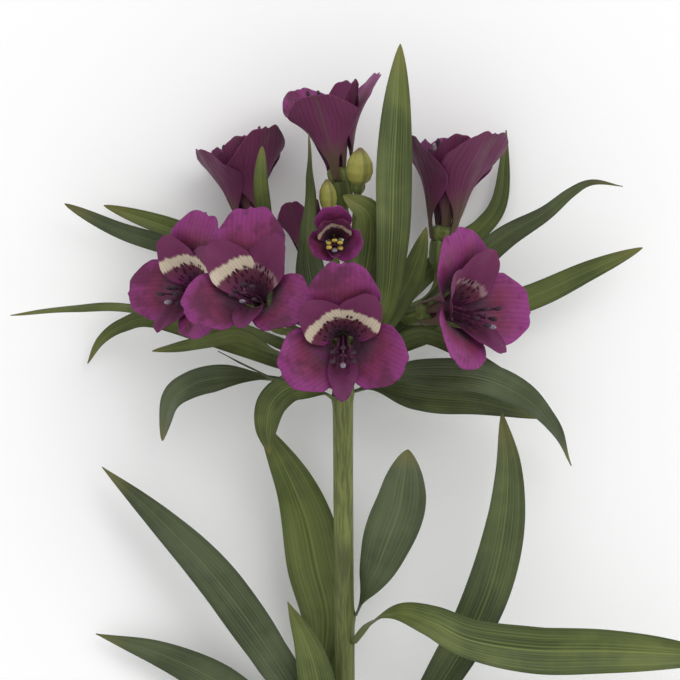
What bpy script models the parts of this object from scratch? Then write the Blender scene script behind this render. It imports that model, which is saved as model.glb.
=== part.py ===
"""One purple cut alstroemeria lying on a table: stem, leaves, flower stalks, blooms and buds.

Run it with blender --background --python part.py, or from Blender's text editor. Lengths in this file are
millimetres, and to_object turns them into metres. The stem lies along +Y with its flowers at the +Y end, and
the table is z = 0. Places are told from the top of the stem, where the leaves of the whorl and the flower
stalks start: x to the right and y towards the flowers from there, and z up from the table.
"""

import math
from dataclasses import dataclass, replace

import bpy
import numpy as np

MM = 0.001

# Where the top of the stem stands in the part's own frame, so that the frame's origin is under its middle
WHORL_X, WHORL_Y = -9.7, 140.5

# The stem: its centre line from the cut end to the whorl, and its radius at both
STEM_LENGTH = 390.0
STEM_FOOT_HEIGHT = 3.6
WHORL_HEIGHT = 38.0
STEM_RISE = 1.25
STEM_FOOT_RADIUS, STEM_TOP_RADIUS = 3.9, 3.4
HEAD_RADIUS, HEAD_LENGTH = 4.8, 5.0
STEM_SIDES, STEM_RINGS = 10, 16

# Blades: the least thickness that stays sound, and the gap that pieces keep
LEAF_THICKNESS = 0.7
TEPAL_THICKNESS = 0.65
GAP = 0.3

# Leaf outline: how sharply it tapers, and the widths that are left at its root and tip
LEAF_TAPER = 1.9
LEAF_ROOT_HALF_WIDTH, LEAF_TIP_HALF_WIDTH = 1.3, 0.35

# Flower stalks and ovaries, and the swelling that carries a bud
STALK_RADIUS, OVARY_RADIUS, OVARY_LENGTH = 1.4, 3.3, 10.0
STALK_SIDES, STALK_RINGS = 6, 5
BUD_NECK_LENGTH, BUD_NECK_SHARE, BUD_SIDES = 4.0, 0.5, 9

# A tepal's midrib seen from its side, as radius and height, in a shut bud and in an open bloom. It is drawn
# for the longest tepal, and the others stop short on it. The outer three lie this far behind the inner three.
SHUT_MIDRIB = ((1.6, 0.8), (3.4, 8), (5.0, 16), (6.2, 23), (6.8, 31), (5.8, 40))
OPEN_MIDRIB = ((1.6, 0.8), (2.7, 8), (5.4, 16), (11.2, 22.5), (19, 27), (29.5, 28))
MIDRIB_STEPS = 60
LAYER_STEP = 2.0
SEAT_RADIUS, SEAT_HEIGHT = 4.7, 4.5
SEAT_SIDES = 6

# A tepal's outline: half its width at the claw, how far its corners fall back and how roundly, the shares of
# its length between which it widens, and the width of its notch
CLAW_HALF_WIDTH, CORNER_FALL, CORNER_ROUNDNESS = 1.5, 0.3, 2.3
WIDENS_FROM, WIDENS_TO = 0.14, 0.66
NOTCH_HALF_WIDTH = 0.24

# How much of its bend round the flower a tepal loses towards its tip, and how far its edge ripples
UNWRAPPING, EDGE_RIPPLE = 0.75, 0.5

# Stamens and style, and the small disc that they grow from
FILAMENT_RADIUS, ANTHER_LENGTH, ANTHER_RADIUS = 0.45, 3.2, 0.9
FILAMENT_SIDES, FILAMENT_STEPS, STYLE_STEPS = 3, 2, 3
DISC_HEIGHT, DISC_RADIUS = 1.4, 1.5
FILAMENT_START = SEAT_HEIGHT + 1.0

# The shares of its full spread that a narrow flower leaves to its stamens, and the openness with room for all
LEAST_SPREAD, FULL_SPREAD_OPENNESS = 0.62, 0.7

RIGHT, TOWARDS_FLOWERS, UP = (1.0, 0.0, 0.0), (0.0, 1.0, 0.0), (0.0, 0.0, 1.0)

GREENS = {
    "leaf": (0.118, 0.150, 0.036),
    "leaf_grey": (0.090, 0.115, 0.060),
    "leaf_dark": (0.060, 0.072, 0.036),
    "stem": (0.150, 0.178, 0.050),
    "bud": (0.265, 0.235, 0.055),
}
PURPLE = (0.170, 0.030, 0.095)
ANTHER = (0.110, 0.075, 0.080)


def unit(vector):
    vector = np.asarray(vector, float)
    return vector / np.linalg.norm(vector, axis=-1, keepdims=True)


def smooth_step(start, end, value):
    share = np.clip((value - start) / (end - start), 0.0, 1.0)
    return share * share * (3.0 - 2.0 * share)


def smooth_path(points, count):
    """count + 1 points at even steps along a smooth curve (Catmull-Rom) through the given ones."""
    points = np.asarray(points, float)
    padded = np.vstack([2 * points[0] - points[1], points, 2 * points[-1] - points[-2]])
    a, b, c, d = (padded[i : len(padded) - 3 + i, None] for i in range(4))
    t = np.linspace(0.0, 1.0, 24, endpoint=False)[None, :, None]
    curve = 0.5 * (2 * b + (c - a) * t + (2 * a - 5 * b + 4 * c - d) * t**2 + (3 * b - a - 3 * c + d) * t**3)
    curve = np.vstack([curve.reshape(-1, points.shape[1]), points[-1]])
    travelled = np.concatenate([[0.0], np.cumsum(np.linalg.norm(np.diff(curve, axis=0), axis=1))])
    even = np.linspace(0.0, travelled[-1], count + 1)
    return np.stack([np.interp(even, travelled, axis) for axis in curve.T], axis=1)


def directions(path):
    return unit(np.gradient(path, axis=0))


def paint(obj, name, colour, roughness):
    """Gives the object the material of this name, which is made the first time that it is asked for."""
    material = bpy.data.materials.get(name)
    if material is None:
        material = bpy.data.materials.new(name)
        material.use_nodes = True
        shader = material.node_tree.nodes["Principled BSDF"]
        shader.inputs["Base Color"].default_value = (*colour, 1.0)
        shader.inputs["Roughness"].default_value = roughness
        shader.inputs["Metallic"].default_value = 0.0
    obj.data.materials.clear()
    obj.data.materials.append(material)


def to_object(name, points, faces, collection=None):
    """A mesh object from points told in millimetres from the top of the stem."""
    placed = np.asarray(points, float).reshape(-1, 3) + (WHORL_X, WHORL_Y, 0.0)
    mesh = bpy.data.meshes.new(name)
    mesh.from_pydata((placed * MM).tolist(), [], faces)
    mesh.update()
    obj = bpy.data.objects.new(name, mesh)
    (collection or bpy.context.scene.collection).objects.link(obj)
    return obj


def blade_object(name, surface, thickness, collection=None):
    """A thin closed blade round the middle surface, a grid of points: rows along it, columns across it.

    Its triangles are mirrored about the midrib and lie alike on both faces, so a waved blade never
    crosses itself.
    """
    rows, columns = surface.shape[:2]
    faces = []
    for row in range(rows - 1):
        for column in range(columns - 1):
            a = row * columns + column
            b, c, d = a + 1, a + columns + 1, a + columns
            left_half = column < (columns - 1) / 2
            faces += [(a, b, c), (a, c, d)] if left_half else [(a, b, d), (b, c, d)]
    obj = to_object(name, surface, faces, collection)
    solidify = obj.modifiers.new("thickness", "SOLIDIFY")
    solidify.thickness = thickness * MM
    solidify.offset = 0.0
    return obj


def tube_object(name, path, radii, sides, collection=None, across=RIGHT):
    """A closed tube with flat ends along a path, with a radius for each of its points."""
    path, radii = np.asarray(path, float), np.asarray(radii, float)
    along = directions(path)
    first = unit(np.cross(np.cross(along, across), along))
    second = np.cross(along, first)
    angles = np.linspace(0.0, 2 * math.pi, sides, endpoint=False)[None, :, None]
    ring = np.cos(angles) * first[:, None] + np.sin(angles) * second[:, None]
    points = path[:, None] + ring * radii[:, None, None]
    faces = [tuple(reversed(range(sides)))]
    for row in range(len(path) - 1):
        for side in range(sides):
            a, b = row * sides + side, row * sides + (side + 1) % sides
            faces.append((a, b, b + sides, a + sides))
    faces.append(tuple(range((len(path) - 1) * sides, len(path) * sides)))
    return to_object(name, points, faces, collection)


def fuse(base, collection):
    """Joins the collection's objects to the base in one union, then removes them."""
    union = base.modifiers.new("union", "BOOLEAN")
    union.operation = "UNION"
    union.solver = "EXACT"
    union.operand_type = "COLLECTION"
    union.collection = collection
    graph = bpy.context.evaluated_depsgraph_get()
    joined = bpy.data.meshes.new_from_object(base.evaluated_get(graph), depsgraph=graph)
    base.modifiers.clear()
    base.data = joined
    for piece in list(collection.objects):
        bpy.data.objects.remove(piece)
    bpy.data.collections.remove(collection)
    return base


def new_collection(name):
    collection = bpy.data.collections.new(name)
    bpy.context.scene.collection.children.link(collection)
    return collection


def rest_on_table(surface, thickness):
    """The same middle surface, pressed flat where it would dip below the table."""
    pressed = surface.copy()
    pressed[..., 2] = np.maximum(pressed[..., 2], thickness / 2)
    return pressed


# The stem and the roots on it


def stem_centre(y):
    """The stem's centre line at this distance from the whorl (y is 0 there and negative below it)."""
    share = np.clip((np.asarray(y, float) + STEM_LENGTH) / STEM_LENGTH, 0.0, None)
    z = STEM_FOOT_HEIGHT + (WHORL_HEIGHT - STEM_FOOT_HEIGHT) * share**STEM_RISE
    x = 2.2 * (1.0 - share) * np.sin(math.pi * share)
    return np.stack([x, np.asarray(y, float), z], axis=-1)


def stem_radius(y):
    share = np.clip(-np.asarray(y, float) / STEM_LENGTH, 0.0, 1.0)
    return STEM_TOP_RADIUS + (STEM_FOOT_RADIUS - STEM_TOP_RADIUS) * share


@dataclass(frozen=True)
class Root:
    """Where a blade starts, and the direction across it there."""

    point: tuple
    across: tuple


def on_stem(y, angle):
    """A root on the stem, just clear of it: angle is 0 on its right, 90 on top and 180 on its left."""
    turn = math.radians(angle)
    outwards = np.array([math.cos(turn), 0.0, math.sin(turn)])
    reach = stem_radius(y) + GAP + LEAF_THICKNESS / 2
    point = stem_centre(y) + outwards * reach
    return Root(tuple(point), (-math.sin(turn), 0.0, math.cos(turn)))


# Leaves


@dataclass(frozen=True)
class Leaf:
    """A lance-shaped leaf: its root, the midrib's points after it, and which way its upper face looks."""

    name: str
    root: Root
    midrib: tuple
    width: float
    faces: tuple = (UP,)
    widest: float = 0.45
    fold: float = 0.18
    wave: float = 0.0
    tint: str = "leaf"
    rows: int = 7
    columns: int = 2


def leaf_half_width(share, widest):
    body = (share / widest) ** (LEAF_TAPER * widest)
    return body * ((1.0 - share) / (1.0 - widest)) ** (LEAF_TAPER * (1.0 - widest))


def leaf_surface(leaf):
    """The leaf's middle surface. Its face turns from the stem's side at the root to leaf.faces."""
    path = smooth_path((leaf.root.point, *leaf.midrib), leaf.rows)
    along = directions(path)
    share = np.linspace(0.0, 1.0, leaf.rows + 1)
    root_face = np.cross(leaf.root.across, along[0])
    keys = np.vstack([unit(root_face), unit(leaf.faces), unit(leaf.faces[-1])])
    places = np.concatenate([[0.0], np.linspace(0.3, 1.0, len(keys) - 1)])
    face = np.stack([np.interp(share, places, axis) for axis in keys.T], axis=1)
    across = unit(np.cross(along, face))
    normal = np.cross(across, along)
    half = (leaf.width / 2 - LEAF_TIP_HALF_WIDTH) * leaf_half_width(share, leaf.widest) + LEAF_TIP_HALF_WIDTH
    half = half + (LEAF_ROOT_HALF_WIDTH - LEAF_TIP_HALF_WIDTH) * (1.0 - share) ** 6
    t = np.linspace(-1.0, 1.0, leaf.columns + 1)[None, :]
    ripple = leaf.wave * np.sin(4 * math.pi * share[:, None] + 1.3 * t) * t**2
    lift = leaf.fold * np.abs(t) * half[:, None] + ripple
    sideways = t * half[:, None]
    return path[:, None] + across[:, None] * sideways[..., None] + normal[:, None] * lift[..., None]


def make_leaf(leaf):
    surface = rest_on_table(leaf_surface(leaf), LEAF_THICKNESS)
    obj = blade_object(leaf.name, surface, LEAF_THICKNESS)
    paint(obj, leaf.tint, GREENS[leaf.tint], 0.45)


STEM_LEAVES = (
    Leaf(
        "leaf_stem_left_long",
        on_stem(-127, 190),
        (
            (-7, -118, 20), (-5.5, -98, 16.5), (-9.5, -80, 15),
            (-13.5, -62, 16), (-21, -44, 20), (-31.7, -24.5, 26),
        ),
        20.5,
        faces=((-0.2, 0, 1), (0, 0, 1), (0.3, 0, 1)),
        columns=4,
        wave=0.4,
        rows=10,
    ),
    Leaf(
        "leaf_stem_left_low",
        on_stem(-142, 170),
        ((-14, -130, 24), (-28, -108, 24), (-46, -84, 22), (-66, -63, 18), (-87.5, -43.6, 13)),
        15.5,
        faces=((-0.2, -0.2, 1), (0.1, 0, 1)),
        tint="leaf_grey",
        columns=4,
        wave=0.4,
        rows=10,
    ),
    Leaf(
        "leaf_stem_left_bottom",
        on_stem(-166, 200),
        ((-11, -155, 16), (-26, -138, 13), (-46, -121.5, 11), (-68, -111, 9), (-90, -104.5, 6)),
        15.5,
        faces=((0, -0.3, 1),),
        tint="leaf_grey",
        rows=8,
    ),
    Leaf(
        "leaf_stem_centre_low",
        on_stem(-158, 120),
        ((-5.5, -148, 30), (-7.5, -130, 34), (-11.5, -111, 34), (-20, -92, 30)),
        14.5,
        faces=((-0.3, 0, 1),),
        columns=4,
    ),
    Leaf(
        "leaf_stem_right_oval",
        on_stem(-97, 0),
        ((9.5, -87, 28), (15, -73, 32), (20, -59, 35), (22, -48, 36), (23.3, -37, 35)),
        19.0,
        faces=((-0.2, 0, 1), (0.1, 0.1, 1)),
        widest=0.6,
        fold=0.1,
        tint="leaf_grey",
        columns=4,
        wave=0.3,
    ),
    Leaf(
        "leaf_stem_right_tall",
        on_stem(-163, -20),
        (
            (15, -150, 21), (30, -130, 25), (44, -108, 30), (53, -88, 33),
            (58, -66, 34), (59.5, -44, 34), (57.3, -23.4, 32),
        ),
        16.5,
        faces=((-0.5, 0.3, 1), (-0.35, 0, 1), (0.1, 0, 1)),
        widest=0.55,
        fold=0.35,
        tint="leaf_dark",
        columns=4,
        rows=10,
    ),
    Leaf(
        "leaf_stem_right_flat",
        on_stem(-107, 35),
        (
            (11, -99, 37), (20, -95.6, 43), (32, -99, 46), (46, -105.5, 46),
            (68, -109, 44), (95, -109.5, 40), (122, -111, 34), (140, -113, 28),
        ),
        17.0,
        faces=((-0.1, 0.5, 1), (0, -0.1, 1), (0, 0.1, 1)),
        widest=0.55,
        columns=4,
        wave=0.5,
        rows=10,
    ),
    Leaf(
        "leaf_stem_foot_right_high",
        on_stem(-188, 10),
        ((12, -181, 20), (30, -168, 21), (54, -158, 19), (84, -151, 13)),
        15.0,
        faces=((0, 0.2, 1),),
    ),
    Leaf(
        "leaf_stem_foot_left_high",
        on_stem(-206, 175),
        ((-12, -198, 17), (-30, -183, 17), (-55, -169, 14), (-82, -158, 8)),
        15.0,
        faces=((0, 0.1, 1),),
    ),
    Leaf(
        "leaf_stem_foot_top",
        on_stem(-226, 100),
        ((-3, -216, 25), (-7, -196, 31), (-8, -176, 34), (-5, -160, 40)),
        13.0,
        faces=((-0.1, 0, 1),),
        tint="leaf_grey",
    ),
    Leaf(
        "leaf_stem_foot_right_low",
        on_stem(-250, -5),
        ((11, -244, 9), (25, -236, 3.5), (38, -230, 0.3), (58, -225, 0), (78, -222, 0)),
        14.0,
        fold=0.0,
    ),
    Leaf(
        "leaf_stem_foot_left_low",
        on_stem(-274, 185),
        ((-10, -268, 7), (-22, -260, 3), (-33, -254, 0.3), (-50, -248, 0), (-66, -245, 0)),
        12.0,
        fold=0.0,
        tint="leaf_grey",
    ),
)

WHORL_LEAVES = (
    Leaf(
        "leaf_whorl_top_tall",
        on_stem(-4, 38),
        ((10, 1, 42), (15.5, 16, 50), (17.5, 38, 53), (18.2, 62, 50), (19.5, 86, 47), (20.6, 109, 43)),
        13.0,
        faces=((0.1, -0.3, 1), (0.1, 0, 1), (-0.1, 0, 1)),
        widest=0.58,
        fold=0.25,
        columns=4,
        rows=10,
    ),
    Leaf(
        "leaf_whorl_top_dark",
        on_stem(-4, 118),
        ((-7, 3, 45), (-10, 18, 46), (-13, 34, 46), (-12.3, 56, 46), (-12.3, 77, 44)),
        12.0,
        faces=((0.1, 0, 1), (0.8, 0, 0.6), (0.9, 0, 0.45)),
        widest=0.4,
        tint="leaf_dark",
    ),
    Leaf(
        "leaf_whorl_top_centre",
        on_stem(-9, 78),
        ((3.5, -1, 45.5), (6.5, 18, 46), (9.5, 36, 46), (9, 48, 48), (0, 54.5, 50)),
        14.0,
        faces=((0, -0.1, 1),),
        widest=0.6,
    ),
    Leaf(
        "leaf_whorl_top_inner_right",
        on_stem(-5, 4),
        ((10, 1.5, 39), (17, 12, 42.2), (25, 27, 45), (30, 43, 45.5)),
        9.5,
        faces=((0.2, 0, 1),),
        widest=0.55,
        fold=0.1,
    ),
    Leaf(
        "leaf_whorl_right_behind",
        on_stem(-6, -48),
        ((9, 4, 25), (24, 20, 13), (40, 36, 8), (51, 44, 7), (57.5, 55, 6), (59.5, 79, 5)),
        7.5,
        faces=((0, 0, 1),),
        widest=0.55,
    ),
    Leaf(
        "leaf_whorl_right_curved",
        on_stem(-7, -12),
        (
            (11, -1, 29), (24, 6, 24), (36, 16, 25), (47, 30, 28), (58, 40, 31),
            (72, 48, 34), (82, 56, 34), (90, 59.5, 33), (101, 58, 31),
        ),
        11.5,
        faces=((0, 0.1, 1), (0.2, -0.6, 1), (0, -1.2, 1)),
        widest=0.42,
        tint="leaf_dark",
        rows=10,
    ),
    Leaf(
        "leaf_whorl_right_straight",
        on_stem(-10, -25),
        ((12, -5, 27), (38, 8, 16), (69, 18.5, 15), (90, 28, 17), (108.7, 36, 17)),
        9.5,
        faces=((0, -0.1, 1),),
        widest=0.6,
    ),
    Leaf(
        "leaf_whorl_right_broad",
        on_stem(-16, -12),
        ((12, -15, 34), (30, -18, 31), (50, -20, 27), (72, -26, 22)),
        11.5,
        faces=((0, 0.2, 1),),
        tint="leaf_dark",
    ),
    Leaf(
        "leaf_whorl_right_arched",
        on_stem(-12, 28),
        (
            (13, -10.5, 43), (31, -10, 47), (50, -11.5, 45),
            (65, -18, 39), (76, -29, 30), (82.8, -43, 19),
        ),
        12.0,
        faces=((0, 0.4, 1), (0.1, 0.2, 1), (0.5, 0.3, 0.8)),
        widest=0.42,
        fold=0.3,
        tint="leaf_grey",
        columns=4,
        rows=10,
    ),
    Leaf(
        "leaf_whorl_right_small",
        on_stem(-9, 12),
        ((13, -3, 38), (28, 4, 41), (44, -2, 39), (60, -9.5, 33)),
        6.0,
        faces=((0, 0.1, 1),),
    ),
    Leaf(
        "leaf_whorl_left_upper",
        on_stem(-6, 168),
        (
            (-7.7, 1.0, 37.8), (-13, 6.5, 34.3), (-22, 14.5, 29.5), (-35, 24, 24),
            (-48, 31, 20), (-62, 36.5, 17), (-82, 43, 17), (-101, 52, 16),
        ),
        8.0,
        faces=((0, 0, 1), (0, -0.6, 1)),
        widest=0.64,
        tint="leaf_grey",
    ),
    Leaf(
        "leaf_whorl_left_top",
        on_stem(-9, 240),
        ((-10, 7, 19), (-28, 22, 10), (-46, 35, 8), (-62, 43, 9), (-87, 51.5, 9)),
        8.5,
        faces=((0, 0, 1),),
        widest=0.62,
    ),
    Leaf(
        "leaf_whorl_left_thin",
        on_stem(-11, 205),
        ((-14, -3, 29), (-42, 9, 21), (-77, 14.5, 20), (-97, 14.3, 20), (-120.6, 11.5, 17)),
        6.5,
        faces=((0, -1, 0.8), (0, -1, 0.6)),
        widest=0.55,
    ),
    Leaf(
        "leaf_whorl_left_hooked",
        on_stem(-15, 215),
        ((-14, -9, 25), (-40, 1, 15), (-68, 10, 11), (-80, 8, 10), (-88, 2.5, 8), (-93, -6, 5)),
        7.0,
        faces=((0, -0.2, 1), (0, 0, 1)),
        widest=0.55,
    ),
    Leaf(
        "leaf_whorl_left_small",
        on_stem(-10, 172),
        ((-11, -6, 38), (-24, -1.5, 36), (-37, 4, 33), (-46, 3, 31), (-56, 0.8, 29), (-69, -1.5, 27)),
        6.0,
        faces=((0, -1, 0.3), (0, -0.2, 1), (0, -0.6, 1)),
        widest=0.6,
    ),
    Leaf(
        "leaf_whorl_left_edge",
        on_stem(-13, 148),
        ((-8, -13, 46), (-16, -12.5, 50), (-25, -11, 50), (-33, -7.5, 48), (-45, -1.5, 43)),
        5.0,
        faces=((0, -1, 0.15), (0, -1, 0.15)),
        tint="leaf_dark",
    ),
    Leaf(
        "leaf_whorl_left_arched",
        on_stem(-18, 185),
        (
            (-13, -14, 37), (-30, -11.5, 37), (-45, -11.5, 36),
            (-55, -14, 33), (-62, -20, 28), (-65.5, -34, 17),
        ),
        10.5,
        faces=((0, 1, 0.15), (-0.1, 0.3, 1), (-0.6, 0.2, 0.8)),
        widest=0.62,
        fold=0.25,
        tint="leaf_grey",
        columns=4,
        rows=10,
    ),
    Leaf(
        "leaf_whorl_left_low",
        on_stem(-19, 140),
        ((-10, -15, 42), (-19, -14.5, 43), (-25.5, -20, 41), (-27.5, -29, 36), (-26.5, -39, 31)),
        11.0,
        faces=((0, -0.2, 1), (-0.1, 0, 1)),
        widest=0.5,
    ),
)

BRACT = Leaf(
    "bract_upper_left",
    Root((-27.3, 25.2, 18.9), RIGHT),
    ((-27, 30, 24), (-26.8, 38, 33), (-28.5, 50, 44), (-29.5, 61, 50.5), (-29, 72, 53)),
    5.6,
    widest=0.66,
    rows=8,
)


# Blooms


@dataclass(frozen=True)
class Tepal:
    """One of a bloom's six petals: outer ones are broad and notched, upper inner ones carry the band."""

    azimuth: float
    outer: bool
    length: float
    half_width: float
    notch: float = 0.0
    openness: float = 0.0
    columns: int = 4


SIX_TEPALS = (
    Tepal(92, True, 0.97, 13.0, notch=0.05),
    Tepal(212, True, 0.88, 12.0, notch=0.03),
    Tepal(334, True, 0.88, 12.0, notch=0.03),
    Tepal(138, False, 0.84, 8.2, openness=-0.14, columns=2),
    Tepal(56, False, 0.84, 8.2, openness=-0.14, columns=2),
    Tepal(272, False, 0.80, 5.2, openness=-0.04, columns=2),
)


@dataclass(frozen=True)
class Bloom:
    """A bloom: the bottom of its tepals, the way it faces, its upper side, and how the stalk leaves.

    Its fullness is how broad its tepals are, next to a full-grown bloom's.
    """

    name: str
    base: tuple
    axis: tuple
    upper_side: tuple
    leaves_stem: tuple
    scale: float = 1.0
    openness: float = 1.0
    seed: int = 1
    rows: int = 5
    columns: int = 4
    fullness: float = 1.0

    def frame(self):
        axis = unit(self.axis)
        across = unit(np.cross(self.upper_side, axis))
        return np.stack([across, np.cross(axis, across), axis])

    def place(self, local):
        return np.asarray(local, float) * self.scale @ self.frame() + self.base


BLOOMS = (
    Bloom("front", (0, 3.5, 66), (0, -0.06, 1), TOWARDS_FLOWERS, (0.05, 1, 0.6), 1.03, seed=3, rows=6),
    Bloom(
        "left",
        (-44, 19, 26),
        (-0.6, 0.16, 0.78),
        (0.5, 0.87, 0),
        (-0.9, 0.15, -0.4),
        0.96,
        seed=4,
        rows=6,
    ),
    Bloom(
        "centre_left",
        (-28, 12, 48),
        (-0.24, 0.42, 0.87),
        TOWARDS_FLOWERS,
        (-0.7, 0.5, 0.55),
        1.04,
        seed=5,
        rows=6,
    ),
    Bloom(
        "upper_left",
        (-32, 41, 16.2),
        (-0.2, 0.97, 0.06),
        (0.69, 0, 0.72),
        (-0.5, 0.86, -0.3),
        1.14,
        0.3,
        seed=6,
    ),
    Bloom("top", (-1, 60, 30), (-0.15, 0.98, 0.1), (1, 0, -0.15), (0, 1, -0.2), 1.13, 0.43, 7),
    Bloom("upper_right", (36, 38.5, 18), (0.1, 0.98, 0.06), (0.75, 0, 0.66), (0.6, 0.8, -0.3), 1.24, 0.36, 8),
    Bloom(
        "right",
        (28.5, 12, 38),
        (0.7, 0.12, 0.7),
        (-0.5, 0.86, 0),
        (0.9, 0.45, 0.1),
        1.14,
        0.88,
        seed=9,
        rows=6,
    ),
    Bloom(
        "half_open",
        (-3, 38, 55),
        (0, 0.06, 1),
        TOWARDS_FLOWERS,
        (-0.1, 1, 0.3),
        0.66,
        0.42,
        seed=10,
        rows=4,
        columns=2,
        fullness=0.8,
    ),
    Bloom(
        "behind",
        (-13, 30, 22),
        (-0.1, 0.96, -0.16),
        RIGHT,
        (-0.3, 0.9, -0.5),
        0.72,
        0.38,
        seed=11,
        rows=4,
        columns=2,
        fullness=0.8,
    ),
)


def tepal_surface(tepal, openness, rows, phase):
    """A tepal's middle surface in its bloom's own frame, with the bloom's axis along z.

    t runs across it, from -1 to 1, and share along it. Its claw bends round the flower, and its blade
    flattens out towards the tip.
    """
    midrib = np.array(SHUT_MIDRIB) + (np.array(OPEN_MIDRIB) - SHUT_MIDRIB) * (openness + tepal.openness)
    path = smooth_path(midrib, MIDRIB_STEPS)
    slope = directions(path)
    if tepal.outer:
        path = path + np.stack([slope[:, 1], -slope[:, 0]], axis=1) * LAYER_STEP
    t = np.linspace(-1.0, 1.0, tepal.columns + 1)[None, :]
    notch = tepal.notch * np.exp(-((t / NOTCH_HALF_WIDTH) ** 2))
    end = 1.0 - CORNER_FALL * np.abs(t) ** CORNER_ROUNDNESS - notch
    share = np.linspace(0.0, 1.0, rows + 1)[:, None] ** 0.85 * end
    at = share * tepal.length * MIDRIB_STEPS
    radius, height, out, rise = (
        np.interp(at, np.arange(MIDRIB_STEPS + 1), values) for values in (*path.T, slope[:, 0], slope[:, 1])
    )
    widening = smooth_step(WIDENS_FROM, WIDENS_TO, share)
    half = CLAW_HALF_WIDTH + (tepal.half_width - CLAW_HALF_WIDTH) * widening
    wrap = 1.0 - UNWRAPPING * smooth_step(0.3, 0.8, share)
    turn = t * half * wrap / radius
    ripple = EDGE_RIPPLE * np.sin(3.0 * t + phase) * t**2 * smooth_step(0.5, 1.0, share)
    inwards = radius / wrap * (1.0 - np.cos(turn)) + ripple
    sideways = radius / wrap * np.sin(turn)
    flat = np.stack([radius - inwards * rise, sideways, height + inwards * out], axis=-1)
    azimuth = math.radians(tepal.azimuth)
    cos, sin = math.cos(azimuth), math.sin(azimuth)
    return flat @ np.array([[cos, sin, 0.0], [-sin, cos, 0.0], [0.0, 0.0, 1.0]])


def make_tepals(bloom):
    """The bloom's six tepals, fused on the seat that they grow from."""
    random = np.random.default_rng(bloom.seed)
    heights = np.array([0.0, 1.8, SEAT_HEIGHT - 0.8, SEAT_HEIGHT])
    radii = np.array([0.8, 0.98, 1.0, 1.0]) * SEAT_RADIUS * bloom.scale
    seat_path = bloom.place(np.stack([0 * heights, 0 * heights, heights], axis=1))
    collection = new_collection(f"tepals of {bloom.name}")
    for tepal in SIX_TEPALS:
        varied = replace(
            tepal,
            azimuth=tepal.azimuth + random.uniform(-3, 3),
            length=tepal.length * random.uniform(0.97, 1.03),
            half_width=tepal.half_width * bloom.fullness,
            openness=tepal.openness + random.uniform(0, 0.06) * (1 if tepal.outer else -1),
            columns=min(tepal.columns, bloom.columns),
        )
        local = tepal_surface(varied, bloom.openness, bloom.rows, random.uniform(0, 6))
        surface = rest_on_table(bloom.place(local), TEPAL_THICKNESS)
        blade_object(f"tepal {tepal.azimuth}", surface, TEPAL_THICKNESS, collection)
    seat = tube_object(f"bloom_{bloom.name}_tepals", seat_path, radii, SEAT_SIDES, across=bloom.frame()[0])
    paint(fuse(seat, collection), "tepal", PURPLE, 0.5)


def filament_paths():
    """The six filaments in a bloom's own frame: they leave the seat as a ring, droop together, then rise."""
    for angle in np.radians(np.arange(30, 390, 60)):
        x, y = math.cos(angle), math.sin(angle)
        reach = 27 + 2 * math.sin(2 * angle)
        yield (
            (0.9 * x, 0.9 * y, FILAMENT_START),
            (1.5 * x, 1.4 * y - 0.6, 12),
            (2.4 * x, 1.8 * y - 3.2, 19),
            (4.0 * x, 3.0 * y - 5.0, reach),
        )


def make_stamens(bloom):
    """The bloom's six stamens and its style, fused on the small disc that they grow from."""
    collection = new_collection(f"stamens of {bloom.name}")
    across = bloom.frame()[0]
    spread = LEAST_SPREAD + (1.0 - LEAST_SPREAD) * min(bloom.openness / FULL_SPREAD_OPENNESS, 1.0)
    for number, path in enumerate(filament_paths()):
        narrowed = np.array(path) * (spread, spread, 0.9 + 0.1 * spread)
        curve = bloom.place(smooth_path(narrowed, FILAMENT_STEPS))
        radii = np.full(len(curve), FILAMENT_RADIUS)
        tube_object(f"filament {number}", curve, radii, FILAMENT_SIDES, collection, across)
        anther = curve[-1] + np.array([[-0.5], [0.0], [0.5]]) * unit(curve[-1] - curve[-2]) * ANTHER_LENGTH
        radii = np.array([0.35, 1.0, 0.3]) * ANTHER_RADIUS
        tube_object(f"anther {number}", anther, radii, FILAMENT_SIDES, collection, across)
    style = ((0, 0, FILAMENT_START), (0, -1.2 * spread, 16), (0, -4.2 * spread, 27))
    radii = np.array([0.5, 0.45, 0.45, 0.8])
    curve = bloom.place(smooth_path(style, STYLE_STEPS))
    tube_object("style", curve, radii, FILAMENT_SIDES, collection, across)
    heights = np.array([0.0, DISC_HEIGHT]) + SEAT_HEIGHT + GAP / bloom.scale
    disc_path = bloom.place(np.stack([0 * heights, 0 * heights, heights], axis=1))
    radii = np.array([1.0, 0.87]) * DISC_RADIUS * bloom.scale
    disc = tube_object(f"bloom_{bloom.name}_stamens", disc_path, radii, SEAT_SIDES, across=across)
    paint(fuse(disc, collection), "stamen", ANTHER, 0.6)


# Buds, flower stalks and ovaries


@dataclass(frozen=True)
class Bud:
    """A shut bud: the bottom of it, the way it points, and its size."""

    name: str
    base: tuple
    axis: tuple
    leaves_stem: tuple
    length: float
    radius: float


BUDS = (
    Bud("bud_upper", (5.5, 58.5, 43), (0.06, 0.95, 0.3), (0.1, 1, 0.2), 13.5, 5.0),
    Bud("bud_lower", (-5.2, 49, 42), (-0.05, 0.97, 0.25), (-0.05, 1, 0.1), 11.5, 3.3),
)


def make_bud(bud):
    """An egg-shaped bud with a blunt tip."""
    share = np.array([0.0, 0.14, 0.38, 0.64, 0.86, 1.0])
    profile = np.array([0.45, 0.82, 1.0, 0.9, 0.55, 0.14])
    path = np.array(bud.base) + unit(bud.axis) * ((share * bud.length)[:, None] + GAP)
    obj = tube_object(bud.name, path, profile * bud.radius, BUD_SIDES)
    paint(obj, "bud", GREENS["bud"], 0.5)


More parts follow.
